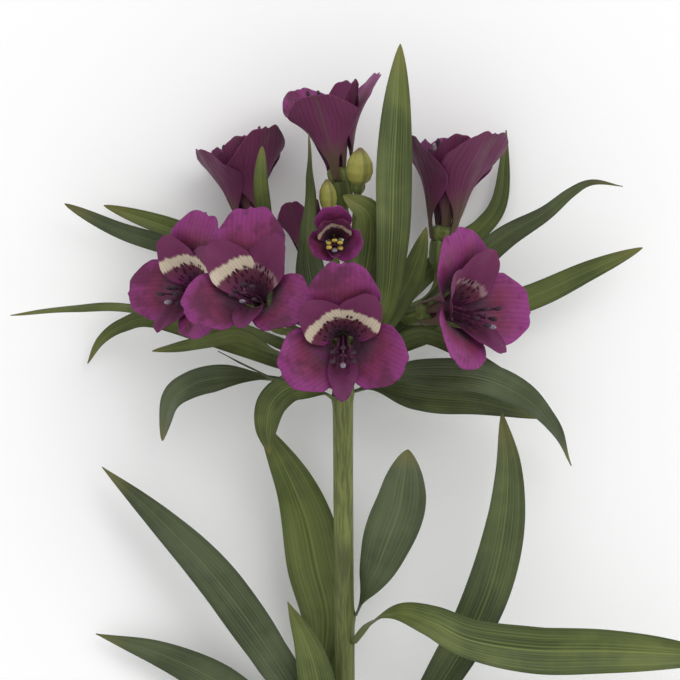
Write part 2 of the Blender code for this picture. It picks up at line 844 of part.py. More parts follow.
def stalk(flower, end, radius, ovary_length, collection):
    """A flower stalk from the stem's head, swelling to the ovary, which stops at end, below the flower."""
    axis, leaving = unit(flower.axis), unit(flower.leaves_stem)
    start = np.array([0.0, 0.5, WHORL_HEIGHT]) + leaving * 0.5
    neck = end - axis * ovary_length
    reach = 0.42 * np.linalg.norm(neck - start)
    t = np.linspace(0.0, 1.0, STALK_RINGS)[:, None]
    first, second = start + leaving * reach, neck - axis * reach * 0.8
    curve = (1 - t) ** 3 * start + 3 * (1 - t) ** 2 * t * first + 3 * (1 - t) * t**2 * second + t**3 * neck
    ovary = neck + axis * ovary_length * np.array([[0.3], [0.65], [1.0]])
    radii = np.concatenate([np.full(STALK_RINGS, STALK_RADIUS), np.array([0.78, 1.0, 0.93]) * radius])
    tube_object(f"stalk of {flower.name}", np.vstack([curve, ovary]), radii, STALK_SIDES, collection)


def make_stem():
    """The stem with its swollen head, the flower stalks and the ovaries, as one green piece."""
    shoot = np.linspace(-STEM_LENGTH, -HEAD_LENGTH / 2, STEM_RINGS)
    head = np.array([0.0, 0.45, 0.8, 1.0]) * HEAD_LENGTH
    path = stem_centre(np.concatenate([shoot, head]))
    radii = np.concatenate([stem_radius(shoot), np.array([0.9, 1.0, 0.92, 0.6]) * HEAD_RADIUS])
    stem = tube_object("stem", path, radii, STEM_SIDES)
    for vertex in stem.data.vertices:
        vertex.co.z = max(vertex.co.z, 0.0)
    collection = new_collection("stalks")
    for bloom in BLOOMS:
        end = np.array(bloom.base) - unit(bloom.axis) * GAP
        stalk(bloom, end, OVARY_RADIUS * bloom.scale, OVARY_LENGTH * bloom.scale, collection)
    for bud in BUDS:
        stalk(bud, np.array(bud.base, float), bud.radius * BUD_NECK_SHARE, BUD_NECK_LENGTH, collection)
    paint(fuse(stem, collection), "stem", GREENS["stem"], 0.5)


def main():
    for obj in list(bpy.data.objects):
        bpy.data.objects.remove(obj)
    make_stem()
    for leaf in (*STEM_LEAVES, *WHORL_LEAVES, BRACT):
        make_leaf(leaf)
    for bloom in BLOOMS:
        make_tepals(bloom)
        make_stamens(bloom)
    for bud in BUDS:
        make_bud(bud)


main()
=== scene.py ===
"""The looks of one cut purple alstroemeria that lies on a pale table, seen from above.

Lengths are millimetres until a mesh is made. Places are told from the top of the stem, where the leaves of
the whorl and the flower stalks start: x to the right, y towards the flowers and z up from the table.
"""

from __future__ import annotations

import logging
import math
from collections.abc import Iterator, Sequence
from dataclasses import dataclass, replace
from enum import Enum

import bpy
import numpy as np
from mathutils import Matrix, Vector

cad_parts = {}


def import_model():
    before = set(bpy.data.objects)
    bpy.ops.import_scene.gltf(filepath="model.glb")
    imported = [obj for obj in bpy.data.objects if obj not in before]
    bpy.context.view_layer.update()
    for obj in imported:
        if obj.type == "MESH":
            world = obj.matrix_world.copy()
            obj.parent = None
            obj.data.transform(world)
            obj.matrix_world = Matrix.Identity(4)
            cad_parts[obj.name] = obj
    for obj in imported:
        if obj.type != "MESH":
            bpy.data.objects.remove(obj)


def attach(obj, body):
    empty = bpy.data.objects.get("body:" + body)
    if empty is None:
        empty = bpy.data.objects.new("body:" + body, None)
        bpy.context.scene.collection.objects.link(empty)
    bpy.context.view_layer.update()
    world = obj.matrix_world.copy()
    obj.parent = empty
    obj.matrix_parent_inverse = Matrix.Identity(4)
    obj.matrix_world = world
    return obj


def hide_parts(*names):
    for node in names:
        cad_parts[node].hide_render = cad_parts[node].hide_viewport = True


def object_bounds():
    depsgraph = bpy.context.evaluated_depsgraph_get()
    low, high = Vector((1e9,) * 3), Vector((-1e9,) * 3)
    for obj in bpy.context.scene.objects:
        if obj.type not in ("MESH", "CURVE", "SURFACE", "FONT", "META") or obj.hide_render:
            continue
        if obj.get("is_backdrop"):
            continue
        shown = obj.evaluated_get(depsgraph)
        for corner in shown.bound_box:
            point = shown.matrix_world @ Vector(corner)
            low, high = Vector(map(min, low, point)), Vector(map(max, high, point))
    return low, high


LOG = logging.getLogger("alstroemeria")

MM = 0.001
BODY = "root"

# Where the top of the stem stands in the frame
WHORL = np.array([-9.7, 140.5, 0.0])

# The least height of a surface above the table
TABLE_CLEARANCE = 0.03

# How many steps a smooth curve is worked out with from one of its points to the next
CURVE_STEPS = 24

# How finely a turned profile is read, and how many of its steps round a corner
PROFILE_STEPS, PROFILE_ROUNDING = 200, 8

RIGHT, TOWARDS_FLOWERS, UP = (1.0, 0.0, 0.0), (0.0, 1.0, 0.0), (0.0, 0.0, 1.0)
LEFT = (-1.0, 0.0, 0.0)

Vector3 = Sequence[float]


# Curves and directions


def unit(vector: Vector3 | np.ndarray) -> np.ndarray:
    """Scales vectors to length 1.

    Args:
        vector: One vector, or an array whose last axis holds vectors.

    Returns:
        The same directions with length 1.
    """
    vector = np.asarray(vector, float)
    return vector / np.linalg.norm(vector, axis=-1, keepdims=True)


def smooth_step(start: float, end: float, value: np.ndarray) -> np.ndarray:
    """Eases from 0 at start to 1 at end, by 3s² − 2s³.

    Args:
        start: Where the result leaves 0.
        end: Where it reaches 1.
        value: Where it is asked for.

    Returns:
        The eased share.
    """
    share = np.clip((value - start) / (end - start), 0.0, 1.0)
    return share * share * (3.0 - 2.0 * share)


def smooth_path(points: Sequence[Vector3] | np.ndarray, count: int) -> np.ndarray:
    """Runs a smooth curve (Catmull-Rom) through the points and reads it at even steps.

    Args:
        points: The points that the curve passes through.
        count: The number of steps.

    Returns:
        count + 1 points.
    """
    points = np.asarray(points, float)
    padded = np.vstack([2 * points[0] - points[1], points, 2 * points[-1] - points[-2]])
    a, b, c, d = (padded[i : len(padded) - 3 + i, None] for i in range(4))
    t = np.linspace(0.0, 1.0, CURVE_STEPS, endpoint=False)[None, :, None]
    curve = 0.5 * (2 * b + (c - a) * t + (2 * a - 5 * b + 4 * c - d) * t**2 + (3 * b - a - 3 * c + d) * t**3)
    curve = np.vstack([curve.reshape(-1, points.shape[1]), points[-1]])
    travelled = np.concatenate([[0.0], np.cumsum(np.linalg.norm(np.diff(curve, axis=0), axis=1))])
    even = np.linspace(0.0, travelled[-1], count + 1)
    return np.stack([np.interp(even, travelled, axis) for axis in curve.T], axis=1)


def directions(path: np.ndarray) -> np.ndarray:
    """Gives the unit tangent at each point of a path."""
    return unit(np.gradient(path, axis=0))


def hump(value: np.ndarray, width: float) -> np.ndarray:
    """Gives exp(−(value / width)²), a smooth hump that is 1 where the value is 0."""
    return np.exp(-((value / width) ** 2))


def ring(sides: int) -> np.ndarray:
    """Gives evenly spaced angles round a circle, as one row."""
    return np.linspace(0.0, 2 * math.pi, sides, endpoint=False)[None, :]


# Meshes


@dataclass
class Patch:
    """A closed surface before it becomes a mesh, or several of them.

    Attributes:
        points: One row for each vertex, in millimetres from the whorl.
        faces: The vertex numbers of each face.
        corner_uv: For each face corner, the share across the piece and the share along it.
        underside: For each vertex, 0 on the face that the flower shows and 1 on its back.
        finish: For each face, which of the object's finishes it wears.
    """

    points: np.ndarray
    faces: list[list[int]]
    corner_uv: np.ndarray
    underside: np.ndarray
    finish: np.ndarray


def joined(patches: Sequence[Patch]) -> Patch:
    """Puts several patches in one.

    Args:
        patches: The patches, in the order that they get in the mesh.

    Returns:
        One patch with all their vertices and faces.
    """
    faces, start = [], 0
    for patch in patches:
        faces += [[index + start for index in face] for face in patch.faces]
        start += len(patch.points)
    return Patch(
        np.concatenate([patch.points for patch in patches]),
        faces,
        np.concatenate([patch.corner_uv for patch in patches]),
        np.concatenate([patch.underside for patch in patches]),
        np.concatenate([patch.finish for patch in patches]),
    )


def grid_corners(rows: int, columns: int, closed: bool) -> tuple[np.ndarray, np.ndarray]:
    """Numbers the quads of a grid of points.

    Args:
        rows: Rows of points, along the piece.
        columns: Columns of points, across it or round it.
        closed: True where the last column meets the first.

    Returns:
        The four vertex numbers of each quad, and the share across and along of each of its corners.
    """
    strips = columns if closed else columns - 1
    row, column = (axis.ravel() for axis in np.mgrid[0 : rows - 1, 0:strips])
    down = np.stack([row, row, row + 1, row + 1], axis=1)
    over = np.stack([column, column + 1, column + 1, column], axis=1)
    shares = np.stack([over / strips, down / (rows - 1)], axis=-1)
    return down * columns + over % columns, shares


def blade_patch(surface: np.ndarray, thickness: np.ndarray, finish: int = 0) -> Patch:
    """Gives a middle surface two faces and a rim.

    Each face lies half the thickness from the middle surface, along its normal, which is the cross product
    of the steps across and along.

    Args:
        surface: The middle surface, rows along it and columns across it.
        thickness: The blade's thickness at each of its points.
        finish: Which of the object's finishes it wears.

    Returns:
        A closed thin blade.
    """
    rows, columns = surface.shape[:2]
    normal = unit(np.cross(np.gradient(surface, axis=1), np.gradient(surface, axis=0)))
    surface = surface.copy()
    surface[..., 2] = np.maximum(surface[..., 2], thickness / 2 + TABLE_CLEARANCE)
    half = normal * thickness[..., None] / 2
    faces = np.stack([surface + half, surface - half])
    faces[..., 2] = np.maximum(faces[..., 2], TABLE_CLEARANCE)
    quads, shares = grid_corners(rows, columns, closed=False)
    count = rows * columns
    number = np.arange(count).reshape(rows, columns)
    edge = np.concatenate([number[0, :-1], number[:-1, -1], number[-1, :0:-1], number[:0:-1, 0]])
    after = np.roll(edge, -1)
    rim = np.stack([after, edge, edge + count, after + count], axis=1)
    vertex_share = np.stack([number % columns / (columns - 1), number // columns / (rows - 1)], axis=-1)
    rim_share = vertex_share.reshape(-1, 2)[rim % count]
    corners = np.concatenate([quads, quads[:, ::-1] + count, rim])
    return Patch(
        faces.reshape(-1, 3),
        corners.tolist(),
        np.concatenate([shares, shares[:, ::-1], rim_share]).reshape(-1, 2),
        np.repeat([0.0, 1.0], count),
        np.full(len(corners), finish),
    )


def tube_patch(path: np.ndarray, radii: np.ndarray, across: Vector3 = RIGHT, finish: int = 0) -> Patch:
    """Carries a ring of points along a path and closes both ends.

    Args:
        path: The centre line.
        radii: The radius for each point of the path (rows) and each angle round it (columns).
        across: The direction that the angles are counted from.
        finish: Which of the object's finishes it wears.

    Returns:
        A closed tube.
    """
    rows, sides = radii.shape
    along = directions(path)
    first = unit(np.cross(np.cross(along, across), along))
    second = np.cross(along, first)
    angles = ring(sides)[..., None]
    spokes = np.cos(angles) * first[:, None] + np.sin(angles) * second[:, None]
    points = path[:, None] + spokes * radii[..., None]
    points[..., 2] = np.maximum(points[..., 2], TABLE_CLEARANCE)
    quads, shares = grid_corners(rows, sides, closed=True)
    foot, head = list(range(sides))[::-1], list(range((rows - 1) * sides, rows * sides))
    caps = np.concatenate([np.zeros((sides, 2)), np.ones((sides, 2))])
    return Patch(
        points.reshape(-1, 3),
        quads.tolist() + [foot, head],
        np.concatenate([shares.reshape(-1, 2), caps]),
        np.zeros(rows * sides),
        np.full(len(quads) + 2, finish),
    )


def smooth_profile(keys: Sequence[tuple[float, float]], share: np.ndarray) -> np.ndarray:
    """Reads a turned profile with rounded corners.

    Args:
        keys: Its corners, as share along and radius.
        share: Where it is asked for.

    Returns:
        The radius at each share.
    """
    places, values = np.array(keys, float).T
    dense = np.linspace(0.0, 1.0, PROFILE_STEPS)
    plain = np.interp(dense, places, values)
    kernel = np.hanning(2 * PROFILE_ROUNDING + 1)
    padded = np.pad(plain, PROFILE_ROUNDING, mode="edge")
    return np.interp(share, dense, np.convolve(padded, kernel / kernel.sum(), mode="valid"))


# Materials


def linear(colour: str) -> tuple[float, float, float, float]:
    """Turns an sRGB hex value into linear light.

    Args:
        colour: The value, with its hash sign.

    Returns:
        Red, green, blue and alpha.
    """
    channels = [int(colour[i : i + 2], 16) / 255 for i in (1, 3, 5)]
    lit = [c / 12.92 if c <= 0.04045 else ((c + 0.055) / 1.055) ** 2.4 for c in channels]
    return (*lit, 1.0)


@dataclass(frozen=True)
class Signal:
    """A number, place or colour that a material works out at each point, and that sums are done with.

    Attributes:
        brush: The brush that drew it.
        socket: The output that gives it.
    """

    brush: Brush
    socket: bpy.types.NodeSocket

    def __add__(self, other: Signal | float) -> Signal:
        """Adds another signal or a number."""
        return self.brush.sum("ADD", self, other)

    def __sub__(self, other: Signal | float) -> Signal:
        """Takes another signal or a number away."""
        return self.brush.sum("SUBTRACT", self, other)

    def __mul__(self, other: Signal | float) -> Signal:
        """Multiplies by another signal or a number."""
        return self.brush.sum("MULTIPLY", self, other)

    def __pow__(self, power: float) -> Signal:
        """Raises the signal to a power."""
        return self.brush.sum("POWER", self, power)

    def __abs__(self) -> Signal:
        """Drops the sign."""
        return self.brush.sum("ABSOLUTE", self)

    def part(self, axis: str) -> Signal:
        """Gives one coordinate of a place: X, Y or Z."""
        return self.brush.add("ShaderNodeSeparateXYZ", {0: self}, axis)

    def ranged(self, start: float, end: float, low: float = 0.0, high: float = 1.0) -> Signal:
        """Eases from one value to another.

        Args:
            start: Where the result leaves low.
            end: Where it reaches high.
            low: The first value.
            high: The second value.

        Returns:
            The eased signal.
        """
        limits = {"From Min": start, "From Max": end, "To Min": low, "To Max": high}
        inputs = {"Value": self, **limits}
        return self.brush.add("ShaderNodeMapRange", inputs, interpolation_type="SMOOTHSTEP")


@dataclass(frozen=True)
class Brush:
    """Draws the pattern of one material.

    Attributes:
        tree: The material's node tree.
    """

    tree: bpy.types.NodeTree

    def feed(self, node: bpy.types.Node, place: str | int, value: object) -> None:
        """Links a signal to an input, or sets the input to a hex colour or a number.

        Args:
            node: The node.
            place: The input's name or number.
            value: What the input gets.
        """
        if isinstance(value, Signal):
            self.tree.links.new(value.socket, node.inputs[place])
        else:
            node.inputs[place].default_value = linear(value) if isinstance(value, str) else value

    def add(self, kind: str, inputs: dict, output: str | int = 0, **settings: object) -> Signal:
        """Adds a node with its settings and inputs.

        Args:
            kind: The node's type name.
            inputs: What each of its inputs gets.
            output: The name or number of the output that is asked for.
            settings: The node's own properties.

        Returns:
            The output's signal.
        """
        node = self.tree.nodes.new(kind)
        for name, value in settings.items():
            setattr(node, name, value)
        for place, value in inputs.items():
            self.feed(node, place, value)
        return Signal(self, node.outputs[output])

    def sum(self, operation: str, first: Signal, second: Signal | float = 0.0) -> Signal:
        """Works out one sum of a signal and another one or a number."""
        return self.add("ShaderNodeMath", {0: first, 1: second}, operation=operation)

    def mixed(self, share: Signal, first: Signal | str, second: Signal | str) -> Signal:
        """Mixes two colours by the share of the second one."""
        return self.add("ShaderNodeMix", {0: share, 6: first, 7: second}, 2, data_type="RGBA")

    def layered(self, colour: Signal | str, *layers: tuple[Signal, Signal | str]) -> Signal:
        """Lays colours over a ground, one after another.

        Args:
            colour: The ground.
            layers: How much of each colour shows, and the colour.

        Returns:
            The colour that is seen.
        """
        for share, over in layers:
            colour = self.mixed(share, colour, over)
        return colour

    def ramp(self, along: Signal, stops: Sequence[tuple[float, str]]) -> Signal:
        """Runs through colours.

        Args:
            along: The signal that picks the colour.
            stops: Their places and hex values, in order.

        Returns:
            The colour.
        """
        colour = self.add("ShaderNodeValToRGB", {0: along})
        elements = colour.socket.node.color_ramp.elements
        for number, (place, value) in enumerate(stops):
            element = elements[number] if number < len(elements) else elements.new(place)
            element.position = place
            element.color = linear(value)
        return colour

    def waves(self, across: Signal, count: float, bend: Signal | float = 0.0) -> Signal:
        """Draws a sine wave that repeats count times from share 0 to share 1."""
        return self.sum("SINE", across * (2 * math.pi * count) + bend)

    def noise(self, where: Signal, scale: Vector3, detail: float = 3.0) -> Signal:
        """Draws a soft random pattern.

        Args:
            where: The place that it is drawn by.
            scale: How many spots it has for each unit of the place's three axes.
            detail: How finely it is broken up.

        Returns:
            Its signal, from 0 to 1.
        """
        stretched = self.add("ShaderNodeMapping", {"Vector": where, "Scale": scale})
        look = {"Vector": stretched, "Scale": 1.0, "Detail": detail, "Roughness": 0.55}
        return self.add("ShaderNodeTexNoise", look, "Fac")

    def place(self) -> Signal:
        """Gives a point's place on its piece, in metres."""
        return self.add("ShaderNodeTexCoord", {}, "Object")

    def spots(self, size: float | Vector3, detail: float = 3.0) -> Signal:
        """Draws a soft random pattern of a real size.

        Args:
            size: The size of its spots in millimetres, the same all ways or for each axis.
            detail: How finely it is broken up.

        Returns:
            Its signal, from 0 to 1.
        """
        return self.noise(self.place(), tuple(1.0 / (np.broadcast_to(size, 3) * MM)), detail)

    def blade(self) -> tuple[Signal, Signal, Signal]:
        """Gives the blade's own map, the share across it and the share along it."""
        place = self.add("ShaderNodeUVMap", {}, uv_map="blade")
        return place, place.part("X"), place.part("Y")

    def told(self, name: str) -> Signal:
        """Gives a number that the mesh holds for each vertex."""
        return self.add("ShaderNodeAttribute", {}, "Fac", attribute_name=name)

    def toned(self, colour: Signal) -> Signal:
        """Makes a colour lighter or darker by the piece's own tone."""
        return self.add("ShaderNodeHueSaturation", {"Color": colour, "Value": self.told("tone") + 1.0})


@dataclass(frozen=True)
class Shine:
    """How a plant surface sends light back, and how deep its relief is."""

    roughness: float
    gloss: float = 0.3
    coat: float = 0.0
    sheen: float = 0.0
    relief: float = 0.25
    relief_height: float = 0.15


Pattern = tuple[Signal, Signal, Shine]


@dataclass(frozen=True)
class Finish:
    """A finish, made once and worn by every piece that asks for it."""

    name: str

    def material(self) -> bpy.types.Material:
        """Finds the finish's material, or makes it the first time.

        Returns:
            The material.
        """
        found = bpy.data.materials.get(self.name)
        if found is not None:
            return found
        made = bpy.data.materials.new(self.name)
        made.use_nodes = True
        brush = Brush(made.node_tree)
        colour, height, shine = self.pattern(brush)
        rough = brush.spots(4.55).ranged(0.25, 0.75, shine.roughness - 0.06, shine.roughness + 0.08)
        depth = {"Strength": shine.relief, "Distance": shine.relief_height * MM}
        inputs = {
            "Base Color": colour,
            "IOR": 1.45,
            "Specular IOR Level": shine.gloss,
            "Coat Weight": shine.coat,
            "Coat Roughness": 0.35,
            "Sheen Weight": shine.sheen,
            "Sheen Roughness": 0.4,
            "Roughness": rough,
            "Normal": brush.add("ShaderNodeBump", {"Height": height, **depth}),
        }
        for place, value in inputs.items():
            brush.feed(made.node_tree.nodes["Principled BSDF"], place, value)
        return made

    def pattern(self, brush: Brush) -> Pattern:
        """Draws the colour and the relief.

        Args:
            brush: The material's brush.

        Returns:
            The colour, the height of the relief and the shine.
        """
        raise NotImplementedError


@dataclass(frozen=True)
class LeafCuticle(Finish):
    """A living leaf: a waxy green skin over parallel veins, greyer on its lower side.

    The eye sees fine pale lines that run from root to tip, broad patches of tone, a pale midrib, dark
    margins and a soft gloss along the folds.
    """

    blade: str = "#58622f"
    deep: str = "#37421f"
    vein: str = "#7c8748"
    lower: str = "#5a6241"
    dry_tip: str = "#80773f"
    veins: int = 12
    patch_size: float = 26.3

    def pattern(self, brush: Brush) -> Pattern:
        """Draws the veins as a wave across the blade, bent a little by a stretched noise.

        Args:
            brush: The material's brush.

        Returns:
            The colour, the height of the relief and the shine.
        """
        place, across, along = brush.blade()
        streaks = brush.noise(place, (30.0, 1.5, 1.0))
        lines = brush.waves(across, self.veins, streaks * 3.0).ranged(0.1, 1.0)
        from_midrib = abs(across - 0.5)
        colour = brush.layered(
            self.deep,
            (brush.spots(self.patch_size).ranged(0.36, 0.62), self.blade),
            (streaks.ranged(0.4, 0.72, 0.0, 0.42), self.vein),
            (lines * 0.15, self.vein),
            (from_midrib.ranged(0.0, 0.045, 0.55, 0.0), self.vein),
            (from_midrib.ranged(0.3, 0.5, 0.0, 0.45), self.deep),
            (along.ranged(0.86, 1.0, 0.0, 0.45), self.dry_tip),
            (brush.told("underside") * 0.6, self.lower),
        )
        return brush.toned(colour), lines, Shine(0.45, coat=0.03, relief=0.35)


@dataclass(frozen=True)
class TepalSkin(Finish):
    """A purple petal-like leaf of the flower: thin, moist and finely veined, with a soft satin nap.

    The eye sees a dark throat, partly its own colour and partly painted shade of the flower's deep inside, a
    plum blade that grows more violet at its rim, darker flecks and lines that fan out, and on the two upper
    inner ones a cream band with maroon dashes below it.
    """

    # The throat colour is partly the tepal's own and partly painted shade of the flower's deep inside
    throat: str = "#5a3a4b"
    blade: str = "#732b49"
    rim: str = "#873476"
    shade: str = "#54203a"
    vein: str = "#4c1a35"
    back: str = "#682f50"
    back_midrib: str = "#5d4a47"
    claw: str = "#5c4f3a"
    band: tuple[float, float] | None = None
    lean: float = 0.0
    cream: str = "#cdbfa9"
    ground: str = "#663543"
    beyond: str = "#6b2a52"
    dashes: tuple[float, float] | None = None
    dash: str = "#3d1426"
    veins: int = 15
    patch_size: float = 13.3
    fleck_size: float = 3.85

    def pattern(self, brush: Brush) -> Pattern:
        """Draws colour along the tepal, then band, dashes and veins by the share across and along.

        Args:
            brush: The material's brush.

        Returns:
            The colour, the height of the relief and the shine.
        """
        place, across, along = brush.blade()
        streaks = brush.noise(place, (26.0, 2.2, 1.0))
        patches = brush.spots(self.patch_size)
        side = across * 2.0 - 1.0
        from_midrib = abs(side)
        # The throat stops paint the deep inside of the flower darker and greyer than the blade: partly its
        # own colour, partly painted shade
        base = ((0.0, self.claw), (0.16, self.throat), (0.46, self.throat))
        stops = (*base, (0.64, self.blade), (1.0, self.rim))
        colour = brush.layered(
            brush.ramp(along + (patches - 0.5) * 0.12, stops),
            (from_midrib.ranged(0.6, 1.0, 0.0, 0.5), self.rim),
            (patches.ranged(0.5, 0.66, 0.0, 0.5), self.rim),
            (patches.ranged(0.34, 0.48, 0.75, 0.0), self.shade),
            (brush.spots(self.fleck_size).ranged(0.5, 0.7, 0.0, 0.5), self.shade),
        )
        if self.band:
            colour = self.banded(brush, colour, along + (streaks - 0.5) * 0.1, side)
        if self.dashes:
            colour = self.dashed(brush, colour, place, along)
        lines = brush.waves(across, self.veins, streaks * 5.0).ranged(0.35, 1.0)
        behind = brush.layered(
            self.back,
            (along.ranged(0.1, 0.45, 1.0, 0.0), self.claw),
            (from_midrib.ranged(0.0, 0.16, 0.4, 0.0), self.back_midrib),
            (lines * 0.35, self.vein),
        )
        colour = brush.layered(colour, (lines * 0.22, self.vein), (brush.told("underside"), behind))
        return brush.toned(colour), lines, Shine(0.52, gloss=0.25, sheen=0.04, relief=0.3)

    def banded(self, brush: Brush, colour: Signal, along: Signal, side: Signal) -> Signal:
        """Lays the cream band straight across the blade, leaning to one side.

        The rows of the blade follow its rounded end, so a share along it is taken back by corner_fall *
        |side| ** corner_roundness before it tells the distance from the throat.

        Args:
            brush: The material's brush.
            colour: The colour so far.
            along: The share along the blade, made ragged.
            side: The place across it, from −1 to 1.

        Returns:
            The colour with the band.
        """
        start, end = self.band
        kept = abs(side) ** Tepal.corner_roundness * -Tepal.corner_fall + 1.0
        bent = along * kept - side * self.lean
        within = bent.ranged(start - 0.02, start + 0.02) * bent.ranged(end - 0.02, end + 0.03, 1.0, 0.0)
        return brush.layered(
            colour,
            (bent.ranged(start - 0.2, start - 0.02, 0.0, 0.8), self.ground),
            (within, self.cream),
            (bent.ranged(end - 0.01, end + 0.04), self.beyond),
        )

    def dashed(self, brush: Brush, colour: Signal, place: Signal, along: Signal) -> Signal:
        """Strews short dark dashes that run towards the throat, in cells twice as long as wide.

        Args:
            brush: The material's brush.
            colour: The colour so far.
            place: The blade's own map.
            along: The share along the blade.

        Returns:
            The colour with the dashes.
        """
        start, end = self.dashes
        stretched = brush.add("ShaderNodeMapping", {"Vector": place, "Scale": (9.0, 9.0, 1.0)})
        look = {"Vector": stretched, "Scale": 1.0, "Randomness": 0.8}
        cells = brush.add("ShaderNodeTexVoronoi", look, "Distance", voronoi_dimensions="2D")
        within = along.ranged(start, start + 0.08) * along.ranged(end - 0.04, end, 1.0, 0.0)
        return brush.mixed(cells.ranged(0.2, 0.34, 1.0, 0.0) * within, colour, self.dash)


@dataclass(frozen=True)
class ShootSkin(Finish):
    """A fresh green shoot: smooth, waxy and finely ribbed along its length, paler where it is young."""

    young: str = "#7c8345"
    old: str = "#5f6838"
    shade: str = "#454c2b"
    rib_size: Vector3 = (0.909, 41.7, 0.909)
    patch_size: Vector3 = (16.7, 45.5, 16.7)

    def pattern(self, brush: Brush) -> Pattern:
        """Draws ribs as noise that is stretched along the shoot.

        Args:
            brush: The material's brush.

        Returns:
            The colour, the height of the relief and the shine.
        """
        ribs = brush.spots(self.rib_size)
        colour = brush.layered(
            self.old,
            (brush.place().part("Y").ranged(-0.05, 0.13), self.young),
            (brush.spots(self.patch_size).ranged(0.4, 0.7, 0.0, 0.6), self.shade),
            (ribs.ranged(0.35, 0.65, 0.0, 0.75), self.shade),
        )
        return brush.toned(colour), ribs, Shine(0.4, coat=0.05, relief=0.3)


@dataclass(frozen=True)
class StalkSkin(Finish):
    """A flower stalk and its ovary: green, ribbed and flushed with purple."""

    stalk: str = "#667036"
    flush: str = "#54443a"
    ovary: str = "#556530"
    rib: str = "#8a9454"

    def pattern(self, brush: Brush) -> Pattern:
        """Draws the ovary's green beyond the stalk's, then a streaked flush and six pale ribs.

        Args:
            brush: The material's brush.

        Returns:
            The colour, the height of the relief and the shine.
        """
        place, across, along = brush.blade()
        streaks = brush.noise(place, (18.0, 3.0, 1.0))
        colour = brush.layered(
            self.stalk,
            (along.ranged(0.66, 0.8), self.ovary),
            (streaks.ranged(0.42, 0.72, 0.0, 0.7), self.flush),
            (brush.waves(across, 6).ranged(0.4, 1.0, 0.0, 0.25), self.rib),
        )
        return brush.toned(colour), streaks, Shine(0.42, coat=0.04)


@dataclass(frozen=True)
class BudSkin(Finish):
    """A shut bud: yellow-green and matt, with darker seams and a purple-brown tip."""

    body: str = "#949049"
    seam: str = "#6a6c35"
    tip: str = "#5f4a3c"

    def pattern(self, brush: Brush) -> Pattern:
        """Draws three seams round the bud and darkens its tip.

        Args:
            brush: The material's brush.

        Returns:
            The colour, the height of the relief and the shine.
        """
        place, across, along = brush.blade()
        streaks = brush.noise(place, (22.0, 3.0, 1.0))
        colour = brush.layered(
            self.body,
            (brush.waves(across, 3, math.pi / 2).ranged(-1.0, -0.6, 0.8, 0.0), self.seam),
            (streaks.ranged(0.45, 0.75, 0.0, 0.5), self.seam),
            (along.ranged(0.8, 1.0, 0.0, 0.75), self.tip),
        )
        return brush.toned(colour), streaks, Shine(0.5)


@dataclass(frozen=True)
class TwoTone(Finish):
    """A skin of two tones that a fine grain mixes.

    Attributes:
        dark: The tone of the hollows.
        light: The tone of the grains.
        grain: The size of a grain in millimetres.
        mixing: Where the grain's value starts and ends to mix them.
        detail: How finely the grain is broken up.
        shine: How the skin shines.
    """

    dark: str
    light: str
    grain: float = 0.333
    mixing: tuple[float, float] = (0.35, 0.65)
    detail: float = 1.0
    shine: Shine = Shine(0.8, relief=0.6)

    def pattern(self, brush: Brush) -> Pattern:
        """Mixes the two tones by a noise of the grain's size.

        Args:
            brush: The material's brush.

        Returns:
            The colour, the height of the relief and the shine.
        """
        grains = brush.spots(self.grain, self.detail)
        return brush.mixed(grains.ranged(*self.mixing), self.dark, self.light), grains, self.shine


@dataclass(frozen=True)
class CutPith(Finish):
    """The cut end of the stem: a pale wet pith with darker strands in it."""

    pith: str = "#c3c59a"
    strand: str = "#7f8a55"
    strands_per_metre: float = 1400.0

    def pattern(self, brush: Brush) -> Pattern:
        """Scatters the strands as small cells.

        Args:
            brush: The material's brush.

        Returns:
            The colour, the height of the relief and the shine.
        """
        look = {"Vector": brush.place(), "Scale": self.strands_per_metre}
        strands = brush.add("ShaderNodeTexVoronoi", look, "Distance").ranged(0.2, 0.45, 1.0, 0.0)
        return brush.mixed(strands, self.pith, self.strand), strands, Shine(0.35)


class Tint(Enum):
    """The three greens of the leaves: sunlit, greyish lower sides turned up, and a darker copy with painted
    shade for shaded leaves.
    """

    GREEN = LeafCuticle("leaf cuticle, green")
    GREY = LeafCuticle("leaf cuticle, grey-green", "#4f583c", "#364029", "#69724c", "#505844")
    # A darker copy of the leaf green: painted shade for leaves that lie in shade
    DARK = LeafCuticle("leaf cuticle, green with painted shade", "#4f5935", "#353e27", "#6e7743", "#4d553b")


OUTER_TEPAL = TepalSkin("outer tepal skin")
UPPER_LEFT_TEPAL = TepalSkin("upper left inner tepal skin", band=(0.56, 0.7), lean=-0.07, dashes=(0.3, 0.62))
UPPER_RIGHT_TEPAL = TepalSkin("upper right inner tepal skin", band=(0.56, 0.7), lean=0.1, dashes=(0.3, 0.62))
SPOTTED_TEPAL = TepalSkin("spotted inner tepal skin", band=(0.52, 0.58), cream="#94737c", dashes=(0.3, 0.62))
LOWER_INNER_TEPAL = TepalSkin("lower inner tepal skin", blade="#53213c", rim="#6a2a57", dashes=(0.35, 0.7))
STALK_GREEN = StalkSkin("flower stalk skin")
DARK_ANTHER = TwoTone("anther, plum", "#2e222c", "#4b3844")
PALE_ANTHER = TwoTone("anther, grey", "#5b5564", "#a59aa6")
YELLOW_ANTHER = TwoTone("anther, yellow", "#9a7f3a", "#d2b85c")
THREAD = TwoTone("filament, purple", "#48263a", "#74425f", 2.0, (0.35, 0.7), 3.0, Shine(0.4))


